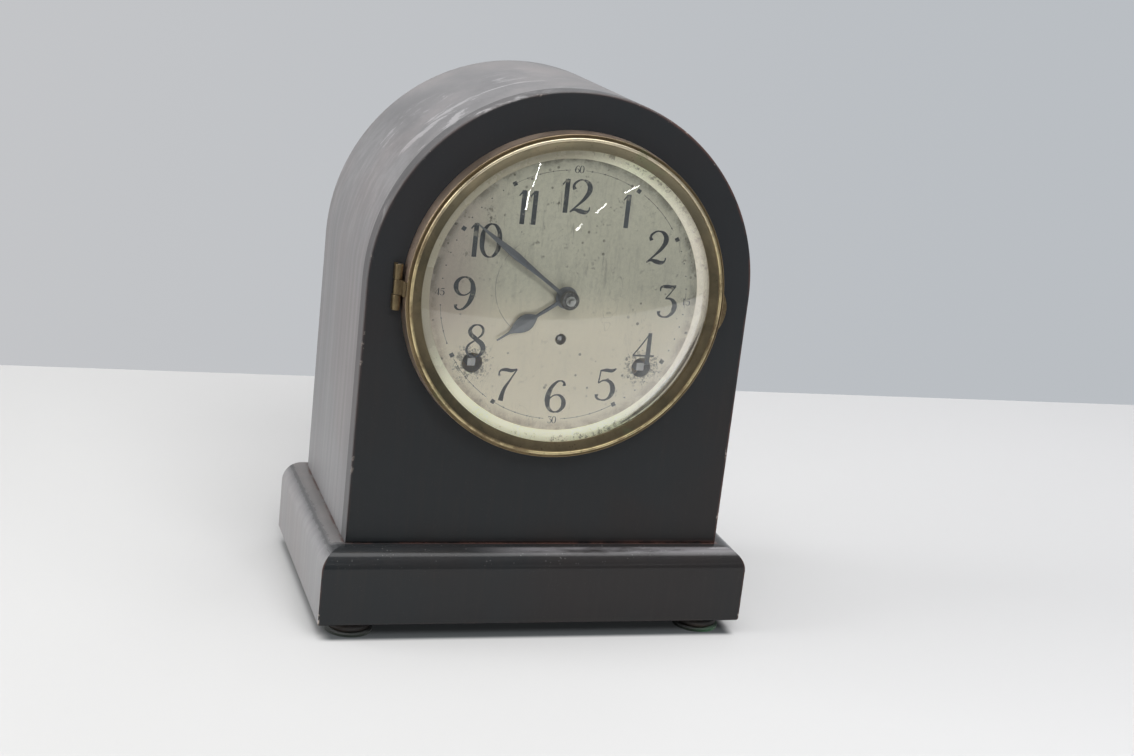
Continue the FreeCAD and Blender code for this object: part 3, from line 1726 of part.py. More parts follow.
def make_hand_nut():
    # a knurled round nut on a plain collet, over the minute hand
    base = -minute_hand_rise - hand_thickness
    collet = rod(hand_collet_radius, centre_place, base - hand_collet_height, base)
    points = []
    for index in range(2 * knurl_count):
        reach = hand_nut_radius - (index % 2) * knurl_depth
        points.append(polar(centre_place, reach, 180 * index / knurl_count))
    top = base - hand_collet_height - hand_nut_height
    knurled = thicken(Part.Face(flat_wire(points, top)), hand_nut_height)
    bore = rod(hand_arbor_radius + running_gap, centre_place, -glass_reach, overrun)
    return joined(collet, knurled).cut(bore)


def make_regulator():
    # an arbor reached by a small key through the dial, with a cam behind the back plate
    rear = back_plate_end + regulator_cam_thickness + running_gap
    body = rod(regulator_arbor_radius, regulator_place, front_plate_depth - pivot_stand_out, rear)
    half = regulator_square / 2
    z = dial_z + regulator_place[1]
    square = bar(
        regulator_place[0] - half, regulator_place[0] + half,
        regulator_tip_depth, front_plate_depth, z - half, z + half,
    )
    cam_place = (regulator_place[0], regulator_place[1] - regulator_cam_offset)
    cam = rod(
        regulator_cam_radius, cam_place,
        back_plate_end + running_gap * 2, rear + running_gap,
    )
    return joined(body, square, cam)


def build():
    os.makedirs("parts", exist_ok=True)
    save("case_shell", make_case_shell())
    save("front_board", make_front_board())
    save("back_board", make_back_board())
    save("plinth_mouldings", make_plinth_mouldings())
    save("base_board", make_base_board())
    save("corner_blocks", make_corner_blocks())
    save("feet", make_feet())
    save("felt_pads", make_felt_pads())
    save("dial_plate", make_dial_plate())
    save("dial_screws", make_dial_screws())
    save("bezel_ring", make_bezel_ring())
    save("bezel_glass", make_bezel_glass())
    save("reflector_ring", make_reflector_ring())
    save("bezel_hinge_case_leaf", make_bezel_hinge_case_leaf())
    save("bezel_hinge_leaf", make_bezel_hinge_leaf())
    save("bezel_hinge_pin", make_bezel_hinge_pin())
    save("bezel_tab", make_bezel_tab())
    save("back_door", make_back_door())
    save("door_hinge_case_leaves", make_door_hinge_case_leaves())
    save("door_hinge_leaves", make_door_hinge_leaves())
    save("door_hinge_pins", make_door_hinge_pins())
    save("door_button", make_door_button())
    save("door_button_screw", make_door_button_screw())
    save("front_plate", make_front_plate())
    save("back_plate", make_back_plate())
    save("pillars", make_pillars())
    save("pillar_nuts", make_pillar_nuts())
    save("movement_screws", make_movement_screws())
    save("time_great_wheel", make_great_wheel(time_barrel))
    save("time_winding_arbor", make_winding_arbor(time_barrel))
    save("time_click", make_click(time_barrel))
    save("time_mainspring", make_mainspring(time_barrel, 1))
    save("second_wheel", make_second_wheel())
    save("centre_wheel", make_centre_wheel())
    save("third_wheel", make_third_wheel())
    save("escape_wheel", make_escape_wheel())
    save("pallet_verge", make_pallet_verge())
    save("crutch", make_crutch())
    save("suspension_post", make_suspension_post())
    save("pendulum_rod", make_pendulum_rod())
    save("pendulum_bob", make_pendulum_bob())
    save("strike_great_wheel", make_great_wheel(strike_barrel))
    save("strike_winding_arbor", make_winding_arbor(strike_barrel))
    save("strike_click", make_click(strike_barrel))
    save("strike_mainspring", make_mainspring(strike_barrel, -1))
    save("strike_second_wheel", make_strike_second_wheel())
    save("pin_wheel", make_pin_wheel())
    save("warning_wheel", make_warning_wheel())
    save("fly", make_fly())
    save("hammer", make_hammer())
    save("gong_stand", make_gong_stand())
    save("gong_coil", make_gong_coil())
    save("gong_screws", make_gong_screws())
    save("cannon_pinion", make_cannon_pinion())
    save("minute_wheel", make_minute_wheel())
    save("hour_wheel", make_hour_wheel())
    save("hour_hand", make_hour_hand())
    save("minute_hand", make_minute_hand())
    save("hand_nut", make_hand_nut())
    save("regulator", make_regulator())


build()
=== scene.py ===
import json
from math import atan2, cos, hypot, pi, radians, sin, sqrt, tau

import bmesh
import bpy
from mathutils import Matrix, Vector


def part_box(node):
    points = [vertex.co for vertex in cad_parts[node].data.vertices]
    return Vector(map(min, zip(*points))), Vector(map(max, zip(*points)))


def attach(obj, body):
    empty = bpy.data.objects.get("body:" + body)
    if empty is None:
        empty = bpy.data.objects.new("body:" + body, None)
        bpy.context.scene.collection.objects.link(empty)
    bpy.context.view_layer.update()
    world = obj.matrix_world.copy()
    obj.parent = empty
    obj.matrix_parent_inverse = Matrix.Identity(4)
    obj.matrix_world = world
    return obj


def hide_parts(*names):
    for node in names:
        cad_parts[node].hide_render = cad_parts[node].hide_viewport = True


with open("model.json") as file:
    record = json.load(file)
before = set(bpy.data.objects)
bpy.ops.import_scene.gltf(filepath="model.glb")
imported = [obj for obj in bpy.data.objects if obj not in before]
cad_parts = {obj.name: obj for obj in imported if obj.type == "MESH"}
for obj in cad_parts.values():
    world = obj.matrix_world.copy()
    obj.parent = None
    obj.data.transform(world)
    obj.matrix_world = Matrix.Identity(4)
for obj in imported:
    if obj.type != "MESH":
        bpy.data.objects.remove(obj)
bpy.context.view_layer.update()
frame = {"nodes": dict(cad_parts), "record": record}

# An arched shelf clock on a moulded plinth. Metres, X right, Y back, Z up.
# Sizes that a user may change are in millimetres, in one dictionary for each piece.

mm = 0.001
boardLow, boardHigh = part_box("front_board")
shellLow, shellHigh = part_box("case_shell")
plinthLow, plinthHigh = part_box("plinth_mouldings")
ringLow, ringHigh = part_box("bezel_ring")
faceY = boardLow.y  # the front of the case
bodyHalf = boardHigh.x
archZ = boardHigh.z - bodyHalf  # where the sides turn into the arch
dialX = (ringLow.x + ringHigh.x) / 2
dialZ = (ringLow.z + ringHigh.z) / 2
plateY = -0.0463  # the front of the movement's frame, painted dark round the arbors as shade
arborSpots = ((40.9, -32.5), (-40.9, -32.5), (0, -21.35))  # behind the dial's holes, in millimetres
nodes = frame["nodes"]


def onDial(x, z, height):  # a place on the dial's own cross, in millimetres
    return Vector((dialX + x * mm, faceY - height * mm, dialZ + z * mm))


def dialPlane(height):  # lays a flat shape parallel to the dial
    return Matrix.Translation(onDial(0, 0, height)) @ Matrix.Rotation(pi / 2, 4, "X")


def linked(name, data):
    made = bpy.data.objects.new(name, data)
    bpy.context.scene.collection.objects.link(made)
    return made


# Meshes

def meshOf(bm, name):
    mesh = bpy.data.meshes.new(name)
    bm.to_mesh(mesh)
    bm.free()
    return mesh


def finishMesh(bm, name, body, slot, replaced=(), finish=None, sharp=32, normals=True):
    bmesh.ops.remove_doubles(bm, verts=bm.verts, dist=1e-6)
    if normals:
        bmesh.ops.recalc_face_normals(bm, faces=bm.faces)
    mesh = meshOf(bm, name)
    mesh.shade_smooth()
    mesh.set_sharp_from_angle(angle=radians(sharp))
    mesh.materials.append(finish or finishOfSlot[slot])
    piece = linked(name, mesh)
    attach(piece, body)
    if replaced:
        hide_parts(*replaced)


def arc(centre, radius, first, last, steps):  # points of an arc, with its angles in degrees
    angles = [radians(first + (last - first) * index / steps) for index in range(steps + 1)]
    return [(centre[0] + radius * cos(angle), centre[1] + radius * sin(angle)) for angle in angles]


def chain(bm, places, closed=False):
    verts = [bm.verts.new(place) for place in places]
    pairs = zip(verts, verts[1:] + verts[:1]) if closed else zip(verts, verts[1:])
    return verts, [bm.edges.new(pair) for pair in pairs]


def turn(bm, profile, centre, axis, out, closed, steps):
    # spins a (radius, height) profile in millimetres round an axis; out is where its radius points
    axis, out = Vector(axis), Vector(out)
    places = [centre + out * reach * mm + axis * height * mm for reach, height in profile]
    verts, edges = chain(bm, places, closed)
    bmesh.ops.spin(
        bm, geom=verts + edges, cent=centre, axis=axis, angle=tau, steps=steps, use_merge=True)


def turnedOnDial(profile, closed=True, steps=192):
    # heights are in front of the case, and an open profile starts and ends on the axis
    bm = bmesh.new()
    turn(bm, profile, onDial(0, 0, 0), (0, -1, 0), (1, 0, 0), closed, steps)
    return bm


def bevelEdges(bm, edges, width, segments):
    bmesh.ops.bevel(
        bm, geom=edges, offset=width, offset_type="OFFSET", affect="EDGES",
        segments=segments, profile=0.5, material=-1, clamp_overlap=False)


def extruded(bm, faces, move):
    grown = bmesh.ops.extrude_face_region(bm, geom=faces)
    lifted = [item for item in grown["geom"] if isinstance(item, bmesh.types.BMVert)]
    bmesh.ops.translate(bm, verts=lifted, vec=move)


def archChain(bm, half, floorZ, y, steps):
    # one side up, the half circle over, and the other side down, as a chain of vertices
    start = bm.verts.new((half, y, archZ))
    spun = bmesh.ops.spin(
        bm, geom=[start], cent=(0, y, archZ), axis=(0, -1, 0), angle=pi, steps=steps)
    last = [item for item in spun["geom_last"] if isinstance(item, bmesh.types.BMVert)][0]
    right = bm.verts.new((half, y, floorZ))
    left = bm.verts.new((-half, y, floorZ))
    bm.edges.new((right, start))
    bm.edges.new((last, left))
    return right, left


def strokes(name, paths, finish, flat):
    # brush strokes on the dial: each path is (x, z, half width) points in millimetres on a smooth line
    curve = bpy.data.curves.new(name, "CURVE")
    curve.dimensions = "3D"
    curve.bevel_depth = mm
    curve.bevel_resolution = 0
    curve.resolution_u = 7
    curve.use_fill_caps = True
    for closed, points in paths:
        spline = curve.splines.new("BEZIER")
        spline.bezier_points.add(len(points) - 1)
        spline.use_cyclic_u = closed
        for knot, (x, z, half) in zip(spline.bezier_points, points):
            knot.co = (x * mm, z * mm, 0)
            knot.radius = half
            knot.handle_left_type = knot.handle_right_type = "AUTO"
    drawn = linked(name, curve)
    seen = drawn.evaluated_get(bpy.context.evaluated_depsgraph_get())
    mesh = bpy.data.meshes.new_from_object(seen)
    bpy.data.objects.remove(drawn)
    bm = bmesh.new()
    bm.from_mesh(mesh)
    bpy.data.meshes.remove(mesh)
    flatten = Matrix.Diagonal((1, 1, flat, 1))
    bmesh.ops.transform(bm, matrix=dialPlane(dialPrint["faceHeight"]) @ flatten, verts=bm.verts)
    finishMesh(bm, name, "case", "dial_metal", finish=finish)


# Shader maths

class Value:  # wraps a socket, so that its maths reads as Python
    def __init__(self, finish, socket):
        self.finish = finish
        self.socket = socket

    def sum(self, operation, first, second, clamp=False):
        settings = {"operation": operation, "use_clamp": clamp}
        return self.finish.value("Math", {0: first, 1: second}, settings)

    def __add__(self, other): return self.sum("ADD", self, other)
    def __radd__(self, other): return self.sum("ADD", other, self)
    def __sub__(self, other): return self.sum("SUBTRACT", self, other)
    def __rsub__(self, other): return self.sum("SUBTRACT", other, self)
    def __mul__(self, other): return self.sum("MULTIPLY", self, other)
    def __rmul__(self, other): return self.sum("MULTIPLY", other, self)
    def __pow__(self, other): return self.sum("POWER", self, other)
    def __abs__(self): return self.sum("ABSOLUTE", self, 0)
    def most(self, other): return self.sum("MAXIMUM", self, other)
    def held(self): return self.sum("ADD", self, 0, True)

    def ramp(self, low, high):  # a smooth step, 0 at low and 1 at high
        sockets = {"Value": self, "From Min": low, "From Max": high}
        return self.finish.value("MapRange", sockets, {"interpolation_type": "SMOOTHSTEP"})


class Finish:
    def __init__(self, name):
        self.material = bpy.data.materials.new(name)
        self.material.use_nodes = True
        self.tree = self.material.node_tree
        self.tree.nodes.clear()
        self.place = self.add("TexCoord").outputs["Object"]
        self.colour = self.normal = None

    def add(self, kind, sockets=None, settings=None):
        node = self.tree.nodes.new("ShaderNode" + kind)
        for key, setting in (settings or {}).items():
            setattr(node, key, setting)
        for key, fed in (sockets or {}).items():
            fed = fed.socket if isinstance(fed, Value) else fed
            if isinstance(fed, bpy.types.NodeSocket):
                self.tree.links.new(fed, node.inputs[key])
            else:
                node.inputs[key].default_value = fed
        return node

    def value(self, kind, sockets, settings=None, output=0):
        return Value(self, self.add(kind, sockets, settings).outputs[output])

    def axes(self, vector=None):  # the parts of the place, or of another vector
        parts = self.add("SeparateXYZ", {0: vector or self.place}).outputs
        return [Value(self, part) for part in parts]

    def scaled(self, scale, turned=(0, 0, 0)):
        sockets = {"Vector": self.place, "Scale": scale, "Rotation": turned}
        return self.add("Mapping", sockets).outputs[0]

    def noise(self, scale, detail=4.0, roughness=0.55, distortion=0.0, stretch=None, turned=(0, 0, 0)):
        place = self.scaled(stretch, turned) if stretch else self.place
        return self.value("TexNoise", {
            "Vector": place, "Scale": scale, "Detail": detail, "Roughness": roughness,
            "Distortion": distortion})

    def cells(self, scale):
        return self.value("TexVoronoi", {"Vector": self.place, "Scale": scale})

    def mix(self, factor, first, second, kind="MIX"):
        padded = [(*c, 1) if isinstance(c, tuple) else c for c in (first, second)]
        sockets = {0: factor, 6: padded[0], 7: padded[1]}
        return self.add("Mix", sockets, {"data_type": "RGBA", "blend_type": kind}).outputs[2]

    def lay(self, mask, colour, kind="MIX"):  # lays a colour over what is there, where the mask is
        self.colour = self.mix(mask, self.colour, colour, kind)

    def shades(self, factor, stops):
        node = self.add("ValToRGB", {0: factor})
        elements = node.color_ramp.elements
        while len(elements) < len(stops):
            elements.new(1.0)
        for element, (position, colour) in zip(elements, stops):
            element.position = position
            element.color = (*colour, 1)
        return node.outputs[0]

    def bump(self, height, distance, strength):  # adds to the bumps that are there
        sockets = {"Height": height, "Distance": distance * mm, "Strength": strength}
        if self.normal:
            sockets["Normal"] = self.normal
        self.normal = self.add("Bump", sockets).outputs[0]

    def surface(self, roughness, metallic=0.0, **constants):
        sockets = {key.replace("_", " "): value for key, value in constants.items()}
        sockets |= {"Base Color": self.colour, "Roughness": roughness, "Metallic": metallic}
        sockets["Normal"] = self.normal
        return self.done(self.add("BsdfPrincipled", sockets).outputs[0])

    def done(self, shader):
        self.add("OutputMaterial", {"Surface": shader})
        return self.material


# Finishes

def span(a, b):
    return (a * a + b * b) ** 0.5


def fromDial(x, z, spot=(0, 0)):
    # millimetres across and up from a spot on the dial, and straight from it
    across, above = (x - dialX) * 1000 - spot[0], (z - dialZ) * 1000 - spot[1]
    return across, above, span(across, above)


lacquerLook = {
    "black": (0.0125, 0.0145, 0.016), "brownBlack": (0.0155, 0.0138, 0.0138),
    "grain": (0.02, 0.0175, 0.0165), "upperBlack": (0.024, 0.026, 0.029),
    "dust": (0.315, 0.31, 0.315), "dustPink": (0.32, 0.30, 0.30), "ledgeDust": (0.27, 0.235, 0.215),
    "crest": (0.30, 0.29, 0.305), "speck": (0.4, 0.39, 0.38),
    "wornEdge": (0.075, 0.04, 0.034), "rawWood": (0.52, 0.45, 0.40),
}


def lacquer(name, topDust, sideSheenAndDust, outline, rough=0.34, shine=0.5):
    # old black varnish: brush marks along the grain, dust that lies on what faces up, worn edges
    look = lacquerLook
    f = Finish(name)
    x, y, z = f.axes()
    nx, ny, nz = f.axes(f.add("NewGeometry").outputs["Normal"])
    soft = f.noise(9, 3, 0.6)
    grain = f.noise(60, 6, 0.65, stretch=(7, 7, 0.35))
    fine = f.noise(420, 5, 0.7)
    blotch = f.noise(11, 5, 0.6, 0.2)
    f.colour = f.mix(soft.ramp(0.42, 0.66), look["black"], look["brownBlack"])
    f.lay(grain.ramp(0.45, 0.75) * 0.35, look["grain"])
    # dust on what faces up, with wiped streaks on the left shoulder
    up = nz.ramp(0.12, 0.85)
    side = (0 - nx).ramp(0.35, 0.95)
    wipes = f.noise(22, 7, 0.7, 1.6, stretch=(0.7, 2.2, 0.7), turned=(0.6, 0.4, 0))
    wiped = wipes.ramp(0.52, 0.66) * x.ramp(0.01, -0.02) * z.ramp(0.17, 0.2)
    dustTop = up * (0.5 + 0.3 * blotch.ramp(0.35, 0.62)) * topDust
    dustTop = dustTop + (up + side) * wiped * y.ramp(0.045, 0.0) * 1.1 * topDust
    # upright streaks of dust on the sides, more of it low down and at the left; this pale coat on the sides
    # is partly a painted sheen
    streaks = f.noise(60, 5, 0.62, stretch=(3.4, 3.4, 0.1))
    other = nx.ramp(0.35, 0.95) * 0.4
    sheenAndDustOnSides = (side + other) * (0.66 + 0.2 * streaks.ramp(0.36, 0.68)) * sideSheenAndDust
    sheenAndDustOnSides = sheenAndDustOnSides + side * z.ramp(0.09, 0.045) * 0.15 * sideSheenAndDust
    # brown dust on the plinth's ledge at the left
    onPlinth = z.ramp(0.06, 0.05)
    ledge = nz.ramp(0.75, 0.98) * x.ramp(-0.084, -0.094) * y.ramp(-0.052, -0.046) * onPlinth
    ledge = ledge * (0.45 + 0.35 * blotch.ramp(0.35, 0.6))
    dust = (dustTop.most(sheenAndDustOnSides).most(ledge) * (0.82 + 0.36 * fine)).held()
    dustAndSheenColour = f.mix(blotch.ramp(0.4, 0.6), look["dust"], look["dustPink"])
    f.lay(dust, f.mix(ledge * 0.9, dustAndSheenColour, look["ledgeDust"]))
    # painted light: the upper part is made lighter
    f.lay(z.ramp(0.1, 0.2) * 0.5, look["upperBlack"], "LIGHTEN")
    # a painted highlight along the crest of the plinth's front moulding, pale at the right
    crest = nz.ramp(0.66, 0.93) * nz.ramp(0.995, 0.96) * (0 - ny).ramp(0.02, 0.1) * onPlinth
    patchy = f.noise(30, 4, 0.6, stretch=(1, 4, 4)).ramp(0.3, 0.6)
    f.lay(crest * x.ramp(-0.04, 0.01) * patchy * 0.55, look["crest"])
    # a few pale specks, most of them where the surface faces up
    specks = f.cells(620).ramp(0.2, 0.12) * f.noise(150, 2).ramp(0.52, 0.6)
    specks = specks * (0.03 + 0.4 * up)
    f.lay(specks * 0.6, look["speck"])
    # rubbed edges
    worn, bare = outline(x, y, z)
    bare = bare * f.noise(110, 4, 0.75).ramp(0.6, 0.66)
    f.lay(worn * f.noise(75, 5, 0.7).ramp(0.36, 0.58), look["wornEdge"])
    f.lay(bare, look["rawWood"])
    rough = rough + 0.3 * dust + 0.1 * fine + 0.08 * (soft - 0.5) + 0.15 * bare + 0.1 * specks
    f.bump(grain, 0.05, 0.5)
    f.bump(f.noise(900, 3, 0.6), 0.02, 0.35)
    f.bump(specks, 0.08, 0.4)
    return f.surface(rough.held(), Specular_IOR_Level=shine, Coat_Weight=0.1, Coat_Roughness=0.15)


def bodyOutline(x, y, z):
    # where the body's front and back edges are, from its own arch
    reach = span(x, (z - archZ).most(0)).most(abs(x))
    rim = reach.ramp(bodyHalf - 1.7 * mm, bodyHalf - 0.4 * mm)
    front = y.ramp(faceY + 1.6 * mm, faceY + 0.3 * mm)
    back = y.ramp(shellHigh.y - 1.4 * mm, shellHigh.y - 0.2 * mm)
    edge = rim * front.most(back * 0.8)
    foot = z.ramp(boardLow.z + 2.2 * mm, boardLow.z + 0.2 * mm) * 0.8
    right = x.ramp(0.0, 0.06) * 0.75 + 0.25
    return edge.most(foot) * right, edge * right


def plinthOutline(x, y, z):
    # the line rubbed where the body meets the plinth, the mitres, and faintly the lower edges
    beside = abs((abs(x) - bodyHalf).most(faceY - y))
    level = z.ramp(plinthHigh.z - 0.6 * mm, plinthHigh.z - 0.1 * mm)
    line = beside.ramp(1.7 * mm, 0.5 * mm) * level
    mitre = abs((abs(x) - plinthHigh.x) - (plinthLow.y - y)).ramp(0.9 * mm, 0.2 * mm)
    mitre = mitre * y.ramp(plinthLow.y + 3 * mm, plinthLow.y + 1 * mm) * 0.7
    low = z.ramp(plinthLow.z + 0.6 * mm, plinthLow.z - 1 * mm) * 0.12
    return line.most(mitre).most(low), mitre * 1.2


def innerWood():
    # plain boards inside and at the back, darkened with age, their grain upright
    f = Finish("boardWood")
    warp = f.noise(12, 3, 0.5, stretch=(1, 1, 0.25))
    waves = {
        "Vector": f.scaled((1, 1, 0.06)), "Scale": 34.0, "Distortion": 7.0, "Detail": 3.0,
        "Detail Scale": 1.4,
    }
    rings = f.value("TexWave", waves, {"bands_direction": "X", "wave_profile": "SAW"}, output=1)
    pores = f.noise(240, 4, 0.7, stretch=(5, 5, 0.12))
    f.colour = f.shades(rings * 0.6 + warp * 0.4, [
        (0.1, (0.070, 0.036, 0.019)), (0.5, (0.125, 0.068, 0.036)), (0.9, (0.185, 0.108, 0.060))])
    f.lay(pores.ramp(0.5, 0.72) * 0.5, (0.045, 0.024, 0.014))
    f.lay(f.noise(8, 4, 0.6).ramp(0.5, 0.75) * 0.5, (0.05, 0.032, 0.022))
    f.bump(rings, 0.08, 0.4)
    f.bump(pores, 0.06, 0.5)
    return f.surface((0.62 + 0.2 * pores).held(), Specular_IOR_Level=0.35)


def tarnished(name, clean, dull, green, body=0.45, rough=0.33, pits=0.5, steelAt=None):
    # old brass: bright where it is rubbed, brown where it isn't, with some green in it
    f = Finish(name)
    x, y, z = f.axes()
    patches = f.noise(38, 6, 0.66, 0.3)
    small = f.noise(260, 5, 0.7)
    spots = f.cells(420).ramp(0.26, 0.1) * f.noise(60, 3).ramp(0.5, 0.62)
    f.colour = f.mix(patches.ramp(0.62 - body / 2, 0.86 - body / 2), clean, dull)
    f.lay(small.ramp(0.52, 0.72) * 0.45, dull)
    f.lay(f.noise(55, 4, 0.6).ramp(0.58, 0.7) * 0.4, green)
    f.lay(spots * pits, (0.05, 0.035, 0.02))
    if steelAt:  # painted shade round the arbors, where the dial's holes look dark, and the arbors' own steel in front of steelAt
        for spot in arborSpots:
            paintedHoleShade = fromDial(x, z, spot)[2].ramp(12, 10) * y.ramp(plateY + 0.1 * mm, plateY - 0.1 * mm)
            f.lay(paintedHoleShade * 0.93, (0.012, 0.012, 0.014))
        f.lay(y.ramp(steelAt + 0.5 * mm, steelAt), (0.78, 0.78, 0.76))
    roughness = (rough + 0.22 * patches.ramp(0.4, 0.7) + 0.12 * small).held()
    f.bump(f.noise(500, 3, 0.6, stretch=(1, 6, 1)), 0.01, 0.5)
    f.bump(small, 0.02, 0.35)
    return f.surface(roughness, (0.95 - 0.5 * pits * spots).held())


def bezelBrass():
    # gold on the bead and the rubbed crests, brown on the slope to the glass, pink brass outside, and a
    # painted highlight towards the top
    f = Finish("bezelBrass")
    x, y, z = f.axes()
    across, above, reach = fromDial(x, z)
    height = (faceY - y) * 1000
    patches = f.noise(30, 6, 0.66, 0.35)
    small = f.noise(230, 6, 0.72)
    rubbed = f.noise(90, 4, 0.65).ramp(0.36, 0.6)
    bead = height.ramp(8.9, 9.7)
    wall = reach.ramp(75.3, 75.9)
    slope = reach.ramp(72.7, 72.2) * reach.ramp(68.0, 68.6)
    f.colour = f.mix(patches.ramp(0.4, 0.7), (0.34, 0.26, 0.15), (0.21, 0.16, 0.095))
    f.lay(slope * (0.6 + 0.4 * patches.ramp(0.35, 0.65)), (0.10, 0.088, 0.058))
    # painted highlight: the slope and the bead are lighter towards the top, where light falls from above
    upper = above.ramp(15, 70)
    f.lay(upper * slope * 0.6, (0.34, 0.30, 0.2))
    f.lay(wall * 0.85, (0.60, 0.47, 0.385))
    f.lay(bead * rubbed, (0.72, 0.6, 0.34))
    f.lay(bead * upper * 0.7, (0.95, 0.86, 0.66))
    f.lay(small.ramp(0.56, 0.75) * 0.5, (0.095, 0.075, 0.04))
    f.lay(f.noise(48, 4, 0.6).ramp(0.6, 0.72) * 0.45, (0.21, 0.24, 0.13))
    spots = f.cells(520).ramp(0.24, 0.1) * f.noise(70, 3).ramp(0.5, 0.62)
    f.lay(spots * 0.7, (0.05, 0.035, 0.02))
    rough = (0.27 + 0.2 * patches.ramp(0.35, 0.7) + 0.16 * small - 0.06 * bead).held()
    f.bump(small, 0.02, 0.4)
    f.bump(patches, 0.06, 0.2)
    metal = (0.96 - 0.35 * spots - 0.12 * patches.ramp(0.5, 0.8)).held()
    return f.surface(rough, metal)


def reflectorGilt():
    # pale gilt, specked near the glass
    f = Finish("reflectorGilt")
    x, y, z = f.axes()
    across, above, reach = fromDial(x, z)
    patches = f.noise(40, 5, 0.62)
    f.colour = f.mix(patches.ramp(0.38, 0.64), (0.99, 0.95, 0.74), (0.94, 0.96, 0.72))
    outer = reach.ramp(64.4, 67.4) * x.ramp(-0.06, 0.02)
    specks = f.noise(420, 5, 0.75).ramp(0.50, 0.62)
    f.lay(specks * outer * 0.85, (0.12, 0.10, 0.05))
    fine = f.cells(700).ramp(0.2, 0.1) * f.noise(80, 3).ramp(0.5, 0.6)
    f.lay(fine * 0.6, (0.16, 0.13, 0.07))
    f.lay(x.ramp(0.03, 0.062) * 0.6, (0.98, 0.86, 0.78))
    # the upper left lies in the bezel's shade
    f.lay((above * 0.55 - across * 0.85).ramp(12, 45) * 0.88, (0.26, 0.225, 0.165))
    # painted shade: the upper half is darker
    f.lay(above.ramp(-45, 0) * 0.28, (0.3, 0.28, 0.22))
    rough = (0.22 + 0.25 * specks * outer + 0.1 * patches).held()
    f.bump(f.noise(500, 3), 0.01, 0.3)
    # the faint glow stands for the room light that a polished ring gathers
    return f.surface(rough, 0.08, Specular_IOR_Level=0.9, Emission_Color=f.colour, Emission_Strength=0.37)


def dialSilver():
    # silvered and lacquered sheet, mottled with age, dark rings of tarnish round the winding holes
    f = Finish("dialSilver")
    x, y, z = f.axes()
    across, above, reach = fromDial(x, z)
    small = f.noise(150, 6, 0.7)
    # the lower part is painted a brighter warm tone and the upper part a duller grey: partly tarnish, partly
    # painted light and reflection
    low = above.ramp(8, -18)
    f.colour = f.mix(low, (0.72, 0.70, 0.57), (1.0, 0.91, 0.73))
    f.lay(f.noise(24, 6, 0.62, 0.2).ramp(0.4, 0.66) * (0.35 - 0.25 * low), (0.58, 0.565, 0.46))
    high = above.ramp(-12, 10)
    f.lay(f.noise(520, 5, 0.75).ramp(0.44, 0.62) * (0.04 + 0.3 * high), (0.50, 0.49, 0.40))
    brushed = f.noise(300, 6, 0.7, stretch=(1.4, 1, 0.22)).ramp(0.5, 0.66)
    f.lay(brushed * (0.06 + 0.26 * high), (0.44, 0.43, 0.36))
    # a painted pink reflection at the left
    paintedPinkReflection = across.ramp(-26, -58) * above.ramp(-34, -4)
    f.lay(paintedPinkReflection * 0.5, (0.55, 0.42, 0.39))
    # age spots, thickest at the top and round the holes
    upper = 0.25 + 0.75 * above.ramp(-6, 24)
    spots = f.noise(240, 5, 0.78).ramp(0.60, 0.67) * upper
    drops = f.cells(190).ramp(0.17, 0.1) * f.noise(50, 3).ramp(0.47, 0.56)
    marks = spots * 0.6 + drops * 0.7
    grit = f.noise(820, 5, 0.75)
    for spot in arborSpots[:2]:
        away = fromDial(x, z, spot)[2]
        ring = (grit + 0.10 * away.ramp(11.0, 5.0)).ramp(0.57, 0.64) * away.ramp(12.0, 9.0)
        marks = marks + ring * 0.7
    upright = f.noise(60, 5, 0.75, stretch=(4, 4, 0.5)).ramp(0.60, 0.68) * upper
    marks = marks + upright * 0.42
    # darker near the edge by the bezel, brown at the bottom
    rim = reach.ramp(58.5, 63.8) * reach.ramp(65.5, 64.3) * (0.25 + 0.5 * small.ramp(0.4, 0.6))
    f.lay(rim * low, (0.50, 0.38, 0.27))
    f.lay(marks + rim * (1.0 - 0.8 * low), (0.135, 0.125, 0.095))
    # a rubbed arc and fine scratches
    sweep = abs(fromDial(x, z, (-9, 4))[2] - 24.5).ramp(0.22, 0.08)
    sweep = sweep * across.ramp(-22, -27) * small.ramp(0.42, 0.5)
    hair = f.noise(34, 2, 0.5, 2.4, stretch=(2.6, 1, 1.1), turned=(0, 0.6, 0))
    hair = abs(hair - 0.5).ramp(0.006, 0.001) * f.noise(20, 2).ramp(0.5, 0.6)
    f.lay(sweep * 0.6 + hair * 0.35, (0.2, 0.185, 0.15))
    rough = (0.3 + 0.1 * small + 0.2 * marks.held()).held()
    f.bump(f.noise(900, 3, 0.6), 0.01, 0.35)
    f.bump(small, 0.02, 0.25)
    return f.surface(rough, 0.4)


def printInk(name, colour, wear):
    f = Finish(name)
    rub = f.noise(210, 5, 0.75).ramp(0.54 + wear, 0.60 + wear)
    faded = tuple(part * 1.9 + 0.012 for part in colour)
    f.colour = f.mix(f.noise(60, 4).ramp(0.4, 0.65), colour, faded)
    f.lay(rub * 0.7, (0.34, 0.325, 0.27))
    f.bump(f.noise(700, 3), 0.01, 0.3)
    return f.surface(0.5 + 0.1 * f.noise(300, 3))


def bluedSteel():
    f = Finish("bluedSteel")
    patches = f.noise(45, 5, 0.6)
    small = f.noise(380, 4, 0.7)
    f.colour = f.mix(patches.ramp(0.36, 0.66), (0.20, 0.215, 0.24), (0.27, 0.28, 0.29))
    f.lay(small.ramp(0.6, 0.72) * 0.6, (0.10, 0.07, 0.055))
    f.bump(f.noise(420, 3, stretch=(1, 1, 5)), 0.01, 0.5)
    return f.surface((0.3 + 0.15 * small).held(), 0.7)


